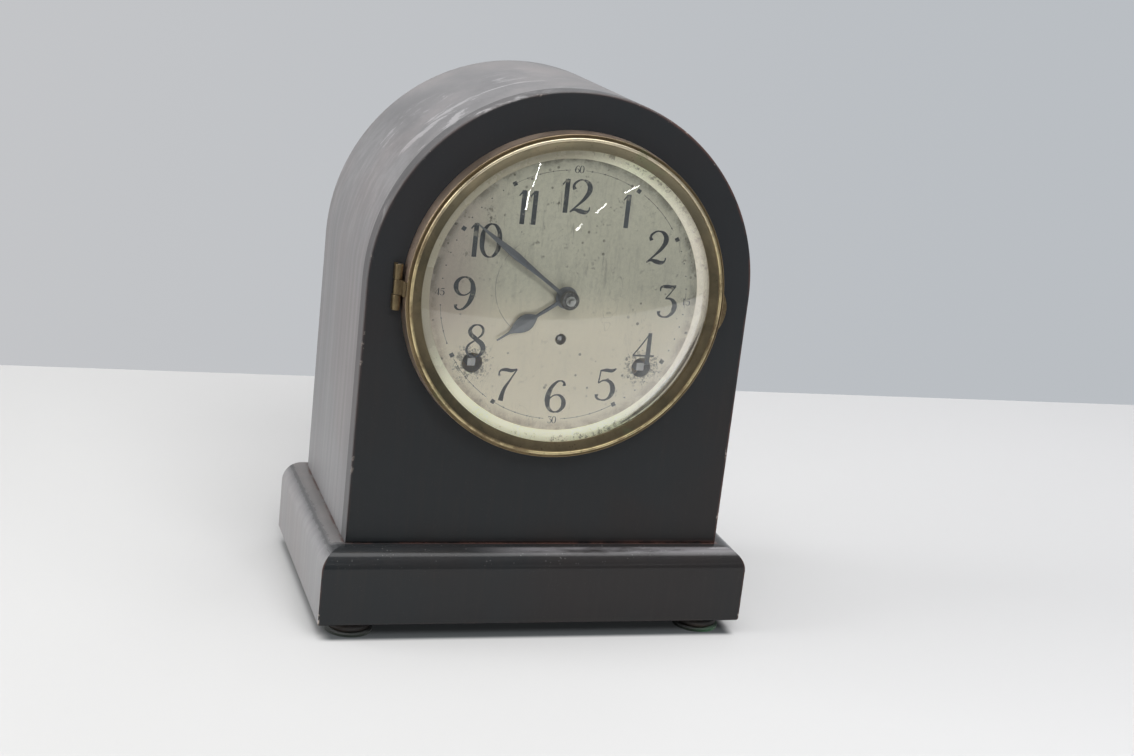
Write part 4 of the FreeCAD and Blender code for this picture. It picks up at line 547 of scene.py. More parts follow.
def plainSteel(name, light, dark, rough, brightWithin=0.0):
    f = Finish(name)
    patches = f.noise(60, 5, 0.62)
    small = f.noise(420, 4, 0.7)
    f.colour = f.mix(patches.ramp(0.38, 0.66), light, dark)
    f.lay(small.ramp(0.6, 0.74) * 0.5, (0.11, 0.085, 0.07))
    if brightWithin:  # glints, and a face rubbed bright on the dial's own axis
        x, y, z = f.axes()
        reach = fromDial(x, z)[2]
        glints = f.cells(1500).ramp(0.32, 0.2) * f.noise(700, 2).ramp(0.45, 0.6)
        f.lay(glints * 0.8, (0.75, 0.75, 0.73))
        f.lay(reach.ramp(brightWithin, brightWithin - 0.1), (0.86, 0.86, 0.84))
    f.bump(f.noise(600, 2, 0.5, stretch=(1, 5, 1)), 0.01, 0.45)
    return f.surface((rough + 0.16 * small).held(), 0.9)


def castIron():
    f = Finish("castIron")
    lumps = f.noise(420, 5, 0.7)
    f.colour = f.mix(f.noise(40, 4).ramp(0.4, 0.7), (0.028, 0.028, 0.028), (0.06, 0.055, 0.05))
    f.lay(f.noise(90, 5, 0.7).ramp(0.62, 0.7) * 0.6, (0.13, 0.06, 0.03))
    f.bump(lumps, 0.12, 0.6)
    return f.surface((0.5 + 0.2 * lumps).held(), 0.2)


def footWood():
    f = Finish("footWood")
    grain = f.noise(90, 5, 0.6, stretch=(1, 1, 4))
    f.colour = f.mix(grain.ramp(0.4, 0.65), (0.017, 0.015, 0.014), (0.035, 0.026, 0.021))
    f.bump(grain, 0.05, 0.4)
    return f.surface((0.4 + 0.2 * grain).held())


def greenFelt():
    f = Finish("greenFelt")
    fibres = f.noise(1400, 6, 0.75, 0.6)
    clumps = f.noise(260, 4, 0.6)
    f.colour = f.mix(fibres.ramp(0.35, 0.65), (0.014, 0.065, 0.026), (0.04, 0.15, 0.06))
    f.lay(clumps.ramp(0.5, 0.7) * 0.4, (0.05, 0.10, 0.05))
    x = f.axes()[0]
    f.lay(x.ramp(0.094, 0.080) * 0.94, (0.012, 0.014, 0.012))  # painted shade: darker all but the right end
    f.bump(fibres, 0.15, 0.8)
    return f.surface(0.9, Sheen_Weight=0.4, Sheen_Roughness=0.5)


def domeGlass():
    # thin clear glass: what passes it isn't bent or dimmed, and Fresnel gives its reflections
    f = Finish("domeGlass")
    gloss = f.add("BsdfGlossy", {"Color": (1, 1, 1, 1), "Roughness": 0.012}).outputs[0]
    clear = f.add("BsdfTransparent", {"Color": (0.985, 0.99, 0.985, 1)}).outputs[0]
    edge = f.value("Fresnel", {"IOR": 1.5})
    haze = f.noise(30, 4, 0.6).ramp(0.4, 0.75) * 0.012
    film = f.add("BsdfDiffuse", {"Color": (0.8, 0.8, 0.78, 1)}).outputs[0]
    veiled = f.add("MixShader", {0: haze, 1: clear, 2: film}).outputs[0]
    return f.done(f.add("MixShader", {0: edge * 0.9, 1: veiled, 2: gloss}).outputs[0])


plinthFinish = lacquer("plinthLacquer", 0.05, 0.95, plinthOutline, 0.12, 0.28)
bezelFinish = bezelBrass()
hubFinish = plainSteel("hubSteel", (0.34, 0.34, 0.33), (0.10, 0.10, 0.10), 0.38, 2.4)
inkFinish = printInk("figureInk", (0.035, 0.04, 0.045), 0.02)
faintInk = printInk("faintInk", (0.07, 0.065, 0.055), -0.04)
finishOfSlot = {
    "front_wood": lacquer("frontLacquer", 0.55, 0.4, bodyOutline, 0.4, 0.25),
    "case_wood": lacquer("shellLacquer", 1.0, 0.95, bodyOutline),
    "inner_wood": innerWood(), "foot_wood": footWood(), "green_felt": greenFelt(),
    "dial_metal": dialSilver(), "reflector_metal": reflectorGilt(), "clear_glass": domeGlass(),
    "blued_steel": bluedSteel(), "cast_iron": castIron(),
    "steel": plainSteel("plainSteel", (0.56, 0.56, 0.55), (0.38, 0.37, 0.36), 0.26),
    "spring_steel": plainSteel("springSteel", (0.12, 0.14, 0.2), (0.07, 0.07, 0.085), 0.28),
    "aged_brass": tarnished("trimBrass", (0.26, 0.2, 0.11), (0.13, 0.095, 0.055), (0.15, 0.165, 0.09)),
    "plate_brass": tarnished(
        "plateBrass", (0.68, 0.51, 0.23), (0.44, 0.31, 0.13), (0.3, 0.3, 0.12), 0.3, 0.3, 0.3, -0.056),
}
for part in frame["record"]["subparts"]:
    node = nodes[part["node"]]
    node.data.materials.clear()
    node.data.materials.append(finishOfSlot[part["material_slot"]])
print("finishes ready")


# Case

caseShape = {
    "edgeRound": 1.2, "edgeSteps": 5, "backRound": 0.96, "backSteps": 4, "archSteps": 120, "wall": 8.0,
    "holeRadius": 58.0,
}


def roundRim(bm, y, width, steps):
    # rounds the edges of the outer outline at the given depth
    def onRim(vert):
        reach = max(abs(vert.co.x), hypot(vert.co.x, max(vert.co.z - archZ, 0)))
        return abs(reach - bodyHalf) < 1e-5 and abs(vert.co.y - y) < 1e-5

    rim = [edge for edge in bm.edges if all(onRim(vert) for vert in edge.verts)]
    bevelEdges(bm, rim, width * mm, steps)


def frontPanel():
    s = caseShape
    bm = bmesh.new()
    right, left = archChain(bm, bodyHalf, boardLow.z, boardLow.y, s["archSteps"])
    bm.edges.new((left, right))
    bmesh.ops.create_circle(
        bm, segments=s["archSteps"], radius=s["holeRadius"] * mm, matrix=dialPlane(0))
    filled = bmesh.ops.triangle_fill(bm, edges=bm.edges[:], use_beauty=True, normal=(0, -1, 0))
    faces = [item for item in filled["geom"] if isinstance(item, bmesh.types.BMFace)]
    extruded(bm, faces, Vector((0, boardHigh.y - boardLow.y, 0)))
    roundRim(bm, boardLow.y, s["edgeRound"], s["edgeSteps"])
    finishMesh(bm, "frontPanel", "case", "front_wood", ["front_board"], sharp=40)


def archShell():
    s = caseShape
    bm = bmesh.new()
    inner = bodyHalf - s["wall"] * mm
    right, left = archChain(bm, bodyHalf, shellLow.z, shellLow.y, s["archSteps"])
    rightIn, leftIn = archChain(bm, inner, shellLow.z, shellLow.y, s["archSteps"])
    bm.edges.new((right, rightIn))
    bm.edges.new((left, leftIn))
    filled = bmesh.ops.contextual_create(bm, geom=bm.edges[:])
    extruded(bm, filled["faces"], Vector((0, shellHigh.y - shellLow.y, 0)))
    roundRim(bm, shellHigh.y, s["backRound"], s["backSteps"])
    finishMesh(bm, "archShell", "case", "case_wood", ["case_shell"], sharp=40)


frontPanel()
archShell()

plinthShape = {
    "topRound": 9.5, "footRound": 1.6, "width": 22.0, "drop": 1.5, "topSteps": 10, "footSteps": 5,
}


def plinthMouldings():
    s = plinthShape
    bm = bmesh.new()
    high = plinthHigh
    low = plinthLow - Vector((0, 0, s["drop"] * mm))  # it hides a little more of the feet
    top, foot, width = (s[key] * mm for key in ("topRound", "footRound", "width"))

    def run(corner, across, along, length, cuts):
        # the section lies `across` from its outer face, and runs `along` from a corner to be mitred
        part = bmesh.new()
        section = [
            *arc((top, high.z - top), top, 180, 90, s["topSteps"]), (width, high.z), (width, low.z),
            *arc((foot, low.z + foot), foot, 270, 180, s["footSteps"]),
        ]
        chain(part, [corner + across * reach + Vector((0, 0, level)) for reach, level in section], True)
        made = bmesh.ops.contextual_create(part, geom=part.edges[:])
        extruded(part, made["faces"], along * length)
        for point, normal in cuts:
            geom = part.verts[:] + part.edges[:] + part.faces[:]
            cut = bmesh.ops.bisect_plane(
                part, geom=geom, plane_co=point, plane_no=normal, clear_outer=True)
            rim = [item for item in cut["geom_cut"] if isinstance(item, bmesh.types.BMEdge)]
            bmesh.ops.holes_fill(part, edges=rim, sides=0)
        bmesh.ops.recalc_face_normals(part, faces=part.faces)
        mesh = meshOf(part, "run")
        bm.from_mesh(mesh)
        bpy.data.meshes.remove(mesh)

    right, back = Vector((1, 0, 0)), Vector((0, 1, 0))
    breadth, depth = high.x - low.x, high.y - low.y
    leftCorner, rightCorner = Vector((low.x, low.y, 0)), Vector((high.x, low.y, 0))
    run(leftCorner, back, right, breadth, [
        (leftCorner, Vector((-1, 1, 0))), (rightCorner, Vector((1, 1, 0)))])
    run(leftCorner, right, back, depth, [(leftCorner, Vector((1, -1, 0)))])
    run(rightCorner, -right, back, depth, [(rightCorner, Vector((-1, -1, 0)))])
    # the plain rail between the two sides, behind
    size = Vector((breadth - 2 * width, width, high.z - low.z, 1))
    centre = Vector((0, high.y - width / 2, (low.z + high.z) / 2))
    bmesh.ops.create_cube(bm, size=1, matrix=Matrix.Translation(centre) @ Matrix.Diagonal(size))
    finishMesh(
        bm, "plinthMouldings", "case", "case_wood", ["plinth_mouldings"], plinthFinish, 35, normals=False)


plinthMouldings()

footShape = {
    "radius": 10.5, "waist": 9.4, "waistDrop": 1.6, "top": 9.9, "topDrop": 0.8, "round": 2.2, "steps": 6,
    "around": 64,
}


def turnedFeet():
    s = footShape
    low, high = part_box("feet")
    bm = bmesh.new()
    height = (high.z - low.z) / mm
    edge, top, corner = s["radius"], s["top"], s["round"]
    profile = [
        (0, 0), (edge - corner, 0), *arc((edge - corner, corner), corner, -90, 60, s["steps"])[1:],
        (s["waist"], height - s["waistDrop"]), (top, height - s["topDrop"]),
        (top, height), (0, height),
    ]
    for x in (low.x + edge * mm, high.x - edge * mm):
        for y in (low.y + edge * mm, high.y - edge * mm):
            turn(bm, profile, Vector((x, y, low.z)), (0, 0, 1), (1, 0, 0), False, s["around"])
    finishMesh(bm, "turnedFeet", "case", "foot_wood", ["feet"])


turnedFeet()
print("case ready")


# Bezel, glass and reflector, as (radius, height in front of the case)

bezelShape = {
    "flange": 76.2, "shoulder": 75.6, "shoulderHeight": 8.3, "grooveOuter": 75.1, "grooveInner": 74.1,
    "grooveFloor": 7.7, "beadRadius": 0.75, "beadTop": 9.9, "lip": 68.3, "lipHeight": 7.9,
    "underLip": 7.2, "seat": 70.6, "seatWall": 71.5, "seatHeight": 6.3, "innerHeight": 6.7,
    "wall": 0.9, "foot": 0.3, "shoulderRound": 0.42, "lipRound": 0.3,
}


def bezelRing():
    s = bezelShape
    corner, rolled = s["shoulderRound"], s["lipRound"]
    beadCentre = s["grooveInner"] - s["beadRadius"]
    beadBase = s["beadTop"] - s["beadRadius"]
    inner = beadCentre - s["beadRadius"]
    profile = [
        (s["flange"], s["foot"]), (s["shoulder"] + 0.05, s["shoulderHeight"] - 0.9),
        *arc((s["shoulder"] - corner, s["shoulderHeight"] - corner), corner, 0, 90, 4),
        (s["grooveOuter"], s["shoulderHeight"] - 0.05), (s["grooveOuter"], s["grooveFloor"]),
        (s["grooveInner"], s["grooveFloor"]),
        *arc((beadCentre, beadBase), s["beadRadius"], 0, 180, 12),
        (inner - 0.05, beadBase - 0.2), (inner - 0.3, beadBase - 0.3),
        (s["lip"] + 2.4, s["lipHeight"] + 0.42), (s["lip"] + 0.35, s["lipHeight"] + 0.28),
        *arc((s["lip"] + rolled, s["lipHeight"] - rolled), rolled, 90, 180, 4),
        (s["lip"], s["underLip"]), (s["seat"], s["underLip"]), (s["seatWall"], s["seatHeight"]),
        (s["shoulder"] - s["wall"], s["innerHeight"] - 0.3), (s["flange"] - s["wall"], s["foot"]),
    ]
    finishMesh(
        turnedOnDial(profile), "bezelRing", "bezel_door", "aged_brass", ["bezel_ring"], bezelFinish, 38)


glassShape = {"reach": 17.0, "edgeHeight": 6.3, "radius": 70.5, "thickness": 1.5, "steps": 44}


def glassSphere():  # the radius of the sphere that the glass is cut from
    rise = glassShape["reach"] - glassShape["edgeHeight"]
    return (glassShape["radius"] ** 2 + rise ** 2) / (2 * rise)


def domeLens():
    s = glassShape
    sphere = glassSphere()
    inner = sphere - s["thickness"]
    base = s["reach"] - sphere
    reaches = [s["radius"] * index / s["steps"] for index in range(s["steps"] + 1)]
    profile = [(reach, base + sqrt(sphere ** 2 - reach ** 2)) for reach in reaches]
    profile += [(reach, base + sqrt(inner ** 2 - reach ** 2)) for reach in reversed(reaches)]
    finishMesh(
        turnedOnDial(profile, False), "domeGlass", "bezel_door", "clear_glass", ["bezel_glass"], sharp=40)


reflectorShape = {
    "inner": 63.8, "outer": 68.4, "seat": 70.6, "sheet": 0.5, "edge": 0.1, "hollow": 0.8, "steps": 8,
    "around": 160,
}


def reflectorRing():
    s = reflectorShape
    low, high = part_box("reflector_ring")
    top = (faceY - low.y) / mm
    foot = (faceY - high.y) / mm
    shares = [index / s["steps"] for index in range(s["steps"] + 1)]
    breadth, rise = s["outer"] - s["inner"], top - foot - s["edge"]
    front = [(s["inner"] + breadth * part, foot + s["edge"] + rise * part ** s["hollow"]) for part in shares]
    profile = [
        (s["inner"], foot), *front, (s["seat"], top), (s["seat"], top - s["sheet"]),
        (s["outer"] + s["sheet"], top - s["sheet"]), (s["inner"] + 2 * s["sheet"], foot),
    ]
    bm = turnedOnDial(profile, steps=s["around"])
    finishMesh(bm, "reflectorRing", "bezel_door", "reflector_metal", ["reflector_ring"], sharp=40)


bezelRing()
domeLens()
reflectorRing()
print("bezel ready")

nutShape = {
    "reach": 4.4, "waist": 3.2, "waistTop": 1.7, "collar": 2.1, "ridges": 44, "depth": 0.28, "round": 0.5,
    "neck": 2.8, "step": 2.5, "stepDrop": 1.2, "squareBase": 2.35, "squareTop": 2.2, "squareHeight": 1.5,
    "below": 1.7, "turned": 0.5,
}


def handNut():
    # the knurled nut that holds the minute hand, with the squared end of the centre arbor
    s = nutShape
    low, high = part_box("hand_nut")
    top, foot = (faceY - low.y) / mm, (faceY - high.y) / mm
    edge = top - s["below"]
    shoulder = top - s["stepDrop"]
    profile = [
        (0, foot), (s["waist"], foot), (s["waist"], foot + s["waistTop"]), (s["reach"], foot + s["collar"]),
        (s["reach"], edge - s["round"]), (s["reach"] - s["round"], edge), (s["neck"], edge),
        (s["step"], shoulder), (0, shoulder),
    ]
    centre = onDial(0, 0, 0)
    bm = turnedOnDial(profile, False, s["ridges"] * 2)
    square = dialPlane(top - s["squareHeight"] / 2) @ Matrix.Rotation(s["turned"], 4, "Z")
    bmesh.ops.create_cone(
        bm, cap_ends=True, segments=4, radius1=s["squareBase"] * mm, radius2=s["squareTop"] * mm,
        depth=s["squareHeight"] * mm, matrix=square)
    for vert in bm.verts:
        across = Vector((vert.co.x - centre.x, 0, vert.co.z - centre.z))
        if across.length > (s["reach"] - 0.1) * mm:
            step = round(atan2(across.z, across.x) / pi * s["ridges"])
            vert.co -= across.normalized() * s["depth"] * mm * (step % 2)
    finishMesh(bm, "handNut", "centre", "steel", ["hand_nut"], hubFinish, 30)


handNut()

# Small solids whose sharp edges are rounded: their body, and the width of the rounding

softShape = {"flat": 0.5, "sharp": 40, "steps": 3}  # degrees up to flat, and of a sharp edge
softEdges = {
    "minute_hand": ("centre", 0.2), "hour_hand": ("hour", 0.2), "bezel_tab": ("bezel_door", 0.2),
    "bezel_hinge_leaf": ("bezel_door", 0.25), "bezel_hinge_case_leaf": ("case", 0.25),
    "door_hinge_leaves": ("rear_door", 0.25), "door_hinge_case_leaves": ("case", 0.25),
    "door_button": ("door_catch", 0.4), "back_door": ("rear_door", 0.7), "back_board": ("case", 0.5),
    "gong_stand": ("case", 0.8), "pillar_nuts": ("case", 0.3), "pendulum_bob": ("pendulum", 0.8),
}


def softened(node, slot, body, width):
    bm = bmesh.new()
    bm.from_mesh(nodes[node].data)
    bmesh.ops.remove_doubles(bm, verts=bm.verts, dist=1e-6)
    flat, least = radians(softShape["flat"]), radians(softShape["sharp"])
    bmesh.ops.dissolve_limit(bm, angle_limit=flat, verts=bm.verts, edges=bm.edges)
    sharp = [edge for edge in bm.edges if edge.is_manifold and edge.calc_face_angle() > least]
    bevelEdges(bm, sharp, width * mm, softShape["steps"])
    finishMesh(bm, node[0] + node.title().replace("_", "")[1:], body, slot, [node])


for part in frame["record"]["subparts"]:
    if part["node"] in softEdges:
        softened(part["node"], part["material_slot"], *softEdges[part["node"]])
print("small pieces ready")


# Dial figures. A figure is drawn in shares of its height, as (x, z, half width) along each stroke.
# Only the strokes of 0 and 8 are closed.

hair = 0.017
figures = {
    "0": [[(0, 0.985, hair), (0.17, 0.88, 0.045), (0.255, 0.5, 0.066), (0.17, 0.12, 0.045),
        (0, 0.015, hair), (-0.17, 0.12, 0.045), (-0.255, 0.5, 0.066), (-0.17, 0.88, 0.045)]],
    "1": [[(0.0, 0.0, 0.06), (0.0, 0.5, 0.06), (0.0, 0.99, 0.06)],
        [(0.02, 0.985, 0.02), (-0.06, 0.93, 0.022), (-0.15, 0.82, hair)]],
    "2": [[(-0.17, 0.70, 0.05), (-0.205, 0.80, 0.035), (-0.13, 0.93, 0.026), (0.02, 0.985, 0.018),
        (0.18, 0.88, 0.055), (0.22, 0.72, 0.068), (0.14, 0.50, 0.05), (-0.04, 0.26, 0.026),
        (-0.24, 0.04, hair)],
        [(-0.24, 0.03, hair), (-0.14, 0.105, 0.03), (0.02, 0.07, 0.058), (0.16, 0.045, 0.05),
        (0.245, 0.10, 0.022), (0.26, 0.20, hair)]],
    "3": [[(-0.20, 0.80, hair), (-0.19, 0.92, 0.024), (-0.05, 0.95, 0.048), (0.12, 0.95, 0.04),
        (0.21, 0.99, 0.016)],
        [(0.20, 0.96, hair), (0.08, 0.76, hair), (-0.04, 0.58, hair)],
        [(-0.04, 0.58, hair), (0.10, 0.575, 0.03), (0.21, 0.45, 0.062), (0.22, 0.27, 0.068),
        (0.12, 0.07, 0.035), (-0.03, 0.015, 0.018), (-0.17, 0.09, 0.03), (-0.185, 0.19, 0.05)]],
    "4": [[(0.10, 0.98, hair), (-0.11, 0.60, 0.018), (-0.30, 0.29, hair)],
        [(-0.31, 0.28, 0.022), (0.0, 0.28, 0.022), (0.27, 0.28, 0.022)],
        [(0.10, 0.0, 0.06), (0.10, 0.5, 0.06), (0.10, 0.99, 0.05)]],
    "5": [[(-0.15, 0.93, 0.02), (0.0, 0.945, 0.045), (0.15, 0.935, 0.045), (0.26, 1.0, hair)],
        [(-0.15, 0.94, hair), (-0.165, 0.74, hair), (-0.185, 0.54, hair)],
        [(-0.185, 0.54, hair), (-0.05, 0.625, 0.02), (0.12, 0.585, 0.045), (0.215, 0.40, 0.068),
        (0.20, 0.20, 0.06), (0.08, 0.04, 0.026), (-0.06, 0.015, 0.018), (-0.19, 0.09, 0.03),
        (-0.20, 0.19, 0.05)]],
    "6": [[(0.17, 0.83, 0.045), (0.165, 0.92, 0.03), (0.06, 0.985, 0.018), (-0.10, 0.87, 0.04),
        (-0.21, 0.62, 0.064), (-0.235, 0.36, 0.068), (-0.15, 0.09, 0.04), (0.0, 0.015, 0.018),
        (0.155, 0.11, 0.045), (0.205, 0.29, 0.064), (0.13, 0.49, 0.04), (0.0, 0.55, 0.018),
        (-0.13, 0.49, hair), (-0.2, 0.38, hair)]],
    "7": [[(-0.22, 0.78, hair), (-0.20, 0.91, 0.022), (-0.06, 0.955, 0.045), (0.10, 0.93, 0.045),
        (0.24, 0.98, 0.018)],
        [(0.24, 0.97, hair), (0.09, 0.66, 0.022), (-0.06, 0.33, 0.045), (-0.12, 0.0, 0.066)]],
    "8": [[(0, 0.985, hair), (-0.14, 0.90, 0.036), (-0.165, 0.76, 0.052), (0, 0.56, 0.056),
        (0.185, 0.36, 0.066), (0.19, 0.17, 0.055), (0, 0.015, hair), (-0.19, 0.13, 0.03),
        (-0.2, 0.32, 0.03), (0, 0.54, hair), (0.16, 0.74, 0.03), (0.14, 0.91, 0.03)]],
}
figures["9"] = [[(-x, 1 - z, half) for x, z, half in path] for path in figures["6"]]

dialPrint = {
    "height": 15.6, "faceHeight": 2.82, "smallHeight": 3.3, "smallReach": 59.0,
    "smallPair": (-0.32, 0.32), "smallBold": 1.25,
    "largeFlat": 0.035, "smallFlat": 0.1, "lineFlat": 0.3, "lineReach": 58.6, "lineHalf": 0.1,
    # corners, half width and taper of a minute's dot and an hour's lozenge
    "dot": (10, 0.32, 0.8), "lozenge": (4, 1.4, 0.9), "inkLift": 0.01, "inkDepth": 0.03,
    "hours": {
        "12": (0.3, 46.7), "1": (24.9, 41.2), "2": (41.4, 25.2), "3": (49.4, -0.1), "4": (41.6, -23.3),
        "5": (24.1, -41.2), "6": (1.1, -47.6), "7": (-23.6, -42.5), "8": (-40.2, -22.3), "9": (-48.1, -0.4),
        "10": (-39.9, 24.4), "11": (-22.1, 40.4),
    },
    "pairs": {"12": (-0.33, 0.10), "10": (-0.33, 0.13), "11": (-0.15, 0.19)}, "wide": 1.17, "bold": 1.18,
    "lineSpans": ((3, 28), (33, 55), (86, 93), (151, 176), (184, 209), (214, 238), (246, 264), (330, 356)),
}


def figurePaths(text, centre, height, offsets, weight=1.0):
    paths = []
    for sign, offset in zip(text, offsets):
        wide = 1.0 if sign in "01" else dialPrint["wide"]
        for path in figures[sign]:
            points = []
            for x, z, half in path:
                place = (centre[0] + (x * wide + offset) * height, centre[1] + (z - 0.5) * height)
                points.append((*place, half * height * weight))
            paths.append((sign in "08", points))
    return paths


def clockPlace(degrees, reach):
    angle = radians(degrees)
    return reach * sin(angle), reach * cos(angle)


def dialFigures():
    look = dialPrint
    large = []
    for text, centre in look["hours"].items():
        large += figurePaths(text, centre, look["height"], look["pairs"].get(text, (0,)), look["bold"])
    strokes("hourFigures", large, inkFinish, look["largeFlat"])
    small = []
    for text, degrees in (("60", 0), ("15", 90), ("30", 180), ("45", 270)):
        centre = clockPlace(degrees, look["smallReach"])
        small += figurePaths(text, centre, look["smallHeight"], look["smallPair"], look["smallBold"])
    strokes("minuteFigures", small, inkFinish, look["smallFlat"])
    lines = []
    for first, last in look["lineSpans"]:
        count = max(2, round((last - first) / 5))
        degrees = [first + (last - first) * step / count for step in range(count + 1)]
        points = [(*clockPlace(place, look["lineReach"]), look["lineHalf"]) for place in degrees]
        lines.append((False, points))
    strokes("minuteLine", lines, faintInk, look["lineFlat"])


def dialMarks():
    # a dot for every minute and a lozenge at each hour that has no small figure
    look = dialPrint
    bm = bmesh.new()
    flat = dialPlane(look["faceHeight"] + look["inkLift"])
    for minute in range(60):
        if minute % 15 == 0:
            continue
        x, z = clockPlace(minute * 6, look["lineReach"])
        here = flat @ Matrix.Translation((x * mm, z * mm, 0))
        mark = look["dot"]
        if minute % 5 == 0:
            here = here @ Matrix.Rotation(pi / 4 - radians(minute * 6), 4, "Z")
            mark = look["lozenge"]
        corners, half, taper = mark
        bmesh.ops.create_cone(
            bm, cap_ends=True, segments=corners, radius1=half * mm, radius2=half * taper * mm,
            depth=look["inkDepth"] * mm, matrix=here)
    finishMesh(bm, "minuteMarks", "case", "dial_metal", finish=inkFinish)


dialFigures()
dialMarks()
print("dial ready")


# Camera, lights and stage

view = {
    "place": (-0.25308, -0.83494, 0.34910), "yaw": 18.2515, "pitch": 15.1629, "roll": 6.5506,
    "focalPixels": 1842.05, "width": 1134, "height": 756, "sensor": 36.0,
}


def cameraAxes():
    yaw, pitch, roll = (radians(view[key]) for key in ("yaw", "pitch", "roll"))
    ahead = Vector((sin(yaw) * cos(pitch), cos(yaw) * cos(pitch), -sin(pitch)))
    level = Vector((cos(yaw), -sin(yaw), 0))
    above = level.cross(ahead)
    right = level * cos(roll) + above * sin(roll)
    up = -level * sin(roll) + above * cos(roll)
    return right, up, ahead


def pixelRay(u, v):
    # the direction that the camera sees at a pixel of the 1134 x 756 frame
    right, up, ahead = cameraAxes()
    across = (u - view["width"] / 2) / view["focalPixels"]
    down = (v - view["height"] / 2) / view["focalPixels"]
    return (ahead + right * across - up * down).normalized()


def setCamera():
    right, up, ahead = cameraAxes()
    data = bpy.data.cameras.new("camera")
    data.sensor_width = view["sensor"]
    data.sensor_fit = "HORIZONTAL"
    data.lens = view["focalPixels"] * view["sensor"] / view["width"]
    camera = linked("camera", data)
    turned = Matrix((right, up, -ahead)).transposed().to_4x4()
    camera.matrix_world = Matrix.Translation(view["place"]) @ turned
    bpy.context.scene.camera = camera


setCamera()

stageLook = {
    "tableEdge": ((0, 365), (1134, 405)), "nearEdge": ((-0.22, -0.543), (0.737, -0.594)), "wallBehind": 1.7,
    "beyond": 3, "wallFoot": -1.2, "wallTop": 3.0,
    "floor": (0.65, 0.65, 0.66), "floorLeft": (0.58, 0.577, 0.57), "wall": (0.56, 0.565, 0.58),
    "wallRight": (0.49, 0.515, 0.545), "shade": (0.035, 0.045, 0.05), "shadeStrength": 0.86,
    "room": (0.9, 0.92, 0.95), "roomStrength": 0.26,
}


def plinthShadowPatch(x, y):
    # the patch of table under the plinth, with a soft edge, which gets a painted shadow
    left = x.ramp(plinthLow.x - 1 * mm, plinthLow.x + 8 * mm)
    right = x.ramp(plinthHigh.x, plinthHigh.x - 6 * mm)
    front = y.ramp(plinthLow.y - 2.5 * mm, plinthLow.y + 2 * mm)
    back = y.ramp(plinthHigh.y, plinthHigh.y - 6 * mm)
    return left * right * front * back


def plainSurface(name, left, right, seen, reach=1.6, shaded=False):
    # the colour that the camera, glass and gloss see, apart from the light that falls on the object
    f = Finish(name)
    x, y, z = f.axes()
    # painted shade: the table is darker to the left and the wall to the right
    shade = f.mix(x.ramp(-0.375 * reach, 0.625 * reach), left, right)
    # a painted shadow on the table under the plinth
    if shaded:
        shade = f.mix(plinthShadowPatch(x, y) * stageLook["shadeStrength"], shade, stageLook["shade"])
    diffuse = f.add("BsdfDiffuse", {"Color": shade}).outputs[0]
    glow = f.add("Emission", {"Color": shade, "Strength": 1.0}).outputs[0]
    path = f.add("LightPath").outputs
    ray = Value(f, path["Is Camera Ray"]).most(Value(f, path["Is Glossy Ray"]))
    ray = ray.most(Value(f, path["Is Transmission Ray"]))
    return f.done(f.add("MixShader", {0: ray * seen, 1: diffuse, 2: glow}).outputs[0])


def stageSheet(name, corners, finish):
    bm = bmesh.new()
    chain(bm, corners, True)
    bmesh.ops.contextual_create(bm, geom=bm.edges[:])
    mesh = meshOf(bm, name)
    mesh.materials.append(finish)
    linked(name, mesh)


def onFloor(pixel):
    ray = pixelRay(*pixel)
    start = Vector(view["place"])
    return start - ray * (start.z / ray.z)


def setStage():
    look = stageLook
    left, right = (onFloor(pixel) for pixel in look["tableEdge"])
    along = (right - left).normalized()
    toward = Vector((along.y, -along.x, 0))
    beyond = look["beyond"]
    far = [left - along * beyond, right + along * beyond]
    nearLeft, nearRight = (Vector((*spot, 0)) for spot in look["nearEdge"])
    nearAlong = (nearRight - nearLeft).normalized()
    near = [nearRight + nearAlong * beyond, nearLeft - nearAlong * beyond]
    white = plainSurface("tableWhite", look["floorLeft"], look["floor"], 0.1, shaded=True)
    stageSheet("tableTop", far + near, white)
    back = [point - toward * look["wallBehind"] for point in far]
    down, up = Vector((0, 0, look["wallFoot"])), Vector((0, 0, look["wallTop"]))
    corners = [back[0] + down, back[1] + down, back[1] + up, back[0] + up]
    stageSheet("backWall", corners, plainSurface("wallGrey", look["wall"], look["wallRight"], 1.0, 2.7))


setStage()

lampLook = {
    "overhead": {"place": (0.05, -0.25, 1.7), "aim": (0, 0, 0.1), "size": (1.9, 1.1), "power": 21.0},
    "front": {"place": (0.1, -1.6, 1.6), "aim": (0, 0, 0.14), "size": (1.2, 0.8), "power": 30.0},
    "left": {"place": (-1.7, 0.1, 0.95), "aim": (0, 0, 0.14), "size": (1.2, 0.9), "power": 19.0},
    "behind": {"place": (0.6, 0.68, 1.1), "aim": (0.1, 0, 0.04), "size": (0.3, 0.2), "power": 0.8},
}


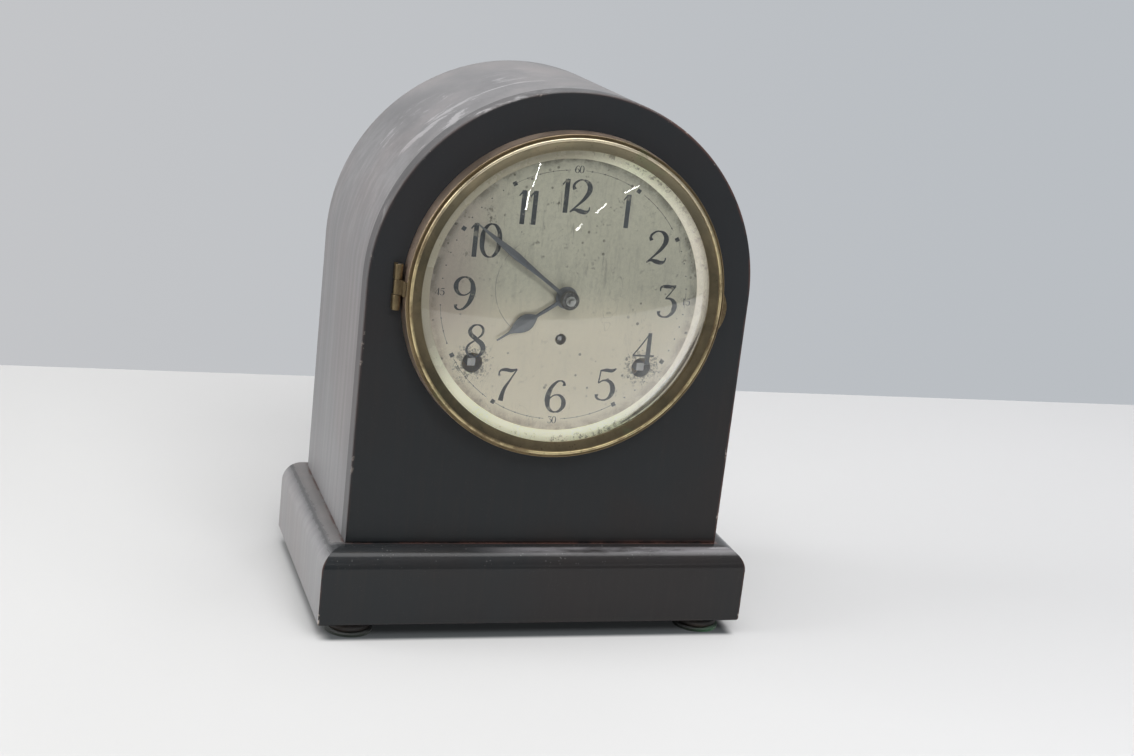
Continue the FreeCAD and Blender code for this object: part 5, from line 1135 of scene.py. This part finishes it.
def areaLamp(name, size, power, matrix):
    data = bpy.data.lights.new(name, "AREA")
    data.shape = "RECTANGLE"
    data.size, data.size_y = size
    data.energy = power
    lamp = linked(name, data)
    lamp.matrix_world = matrix
    return lamp


for name, look in lampLook.items():
    place, aim = Vector(look["place"]), Vector(look["aim"])
    turned = (aim - place).to_track_quat("-Z", "Y").to_matrix().to_4x4()
    lamp = areaLamp(name + "Lamp", look["size"], look["power"], Matrix.Translation(place) @ turned)
    lamp.visible_glossy = name != "front"

tubeLook = {
    "distance": 1.6, "width": 0.006, "radiance": 30.0, "aimHeight": 10,
    "ends": (((541, 163), (533, 187)), ((530, 190), (526, 210)), ((625, 193), (639, 186)),
             ((597, 213), (607, 204)), ((576, 231), (583, 224))),
}


def glassMirror(pixel, distance):
    # the place that a ray through the pixel reaches after the dome of the glass reflects it
    sphere = glassSphere()
    centre = onDial(0, 0, glassShape["reach"] - sphere)
    start, ray = Vector(view["place"]), pixelRay(*pixel)
    offset = start - centre
    half = ray.dot(offset)
    hit = start + ray * (-half - sqrt(half ** 2 - offset.length_squared + (sphere * mm) ** 2))
    normal = (hit - centre).normalized()
    return hit + (ray - 2 * ray.dot(normal) * normal) * distance


def setTubes():
    # narrow strip lamps whose images lie on the glass
    width = tubeLook["width"]
    for index, pixels in enumerate(tubeLook["ends"]):
        first, last = (glassMirror(pixel, tubeLook["distance"]) for pixel in pixels)
        middle, along = (first + last) / 2, last - first
        aim = (onDial(0, 0, tubeLook["aimHeight"]) - middle).normalized()
        side = along.cross(aim).normalized()
        turned = Matrix((side, -aim.cross(side), -aim)).transposed().to_4x4()
        power = tubeLook["radiance"] * pi * width * along.length
        areaLamp(f"tube{index}", (width, along.length), power, Matrix.Translation(middle) @ turned)


setTubes()

scene = bpy.context.scene
scene.view_settings.view_transform = "Standard"
world = bpy.data.worlds.new("room")
world.use_nodes = True
room = world.node_tree.nodes["Background"].inputs
room["Color"].default_value = (*stageLook["room"], 1)
room["Strength"].default_value = stageLook["roomStrength"]
scene.world = world
print("stage ready")
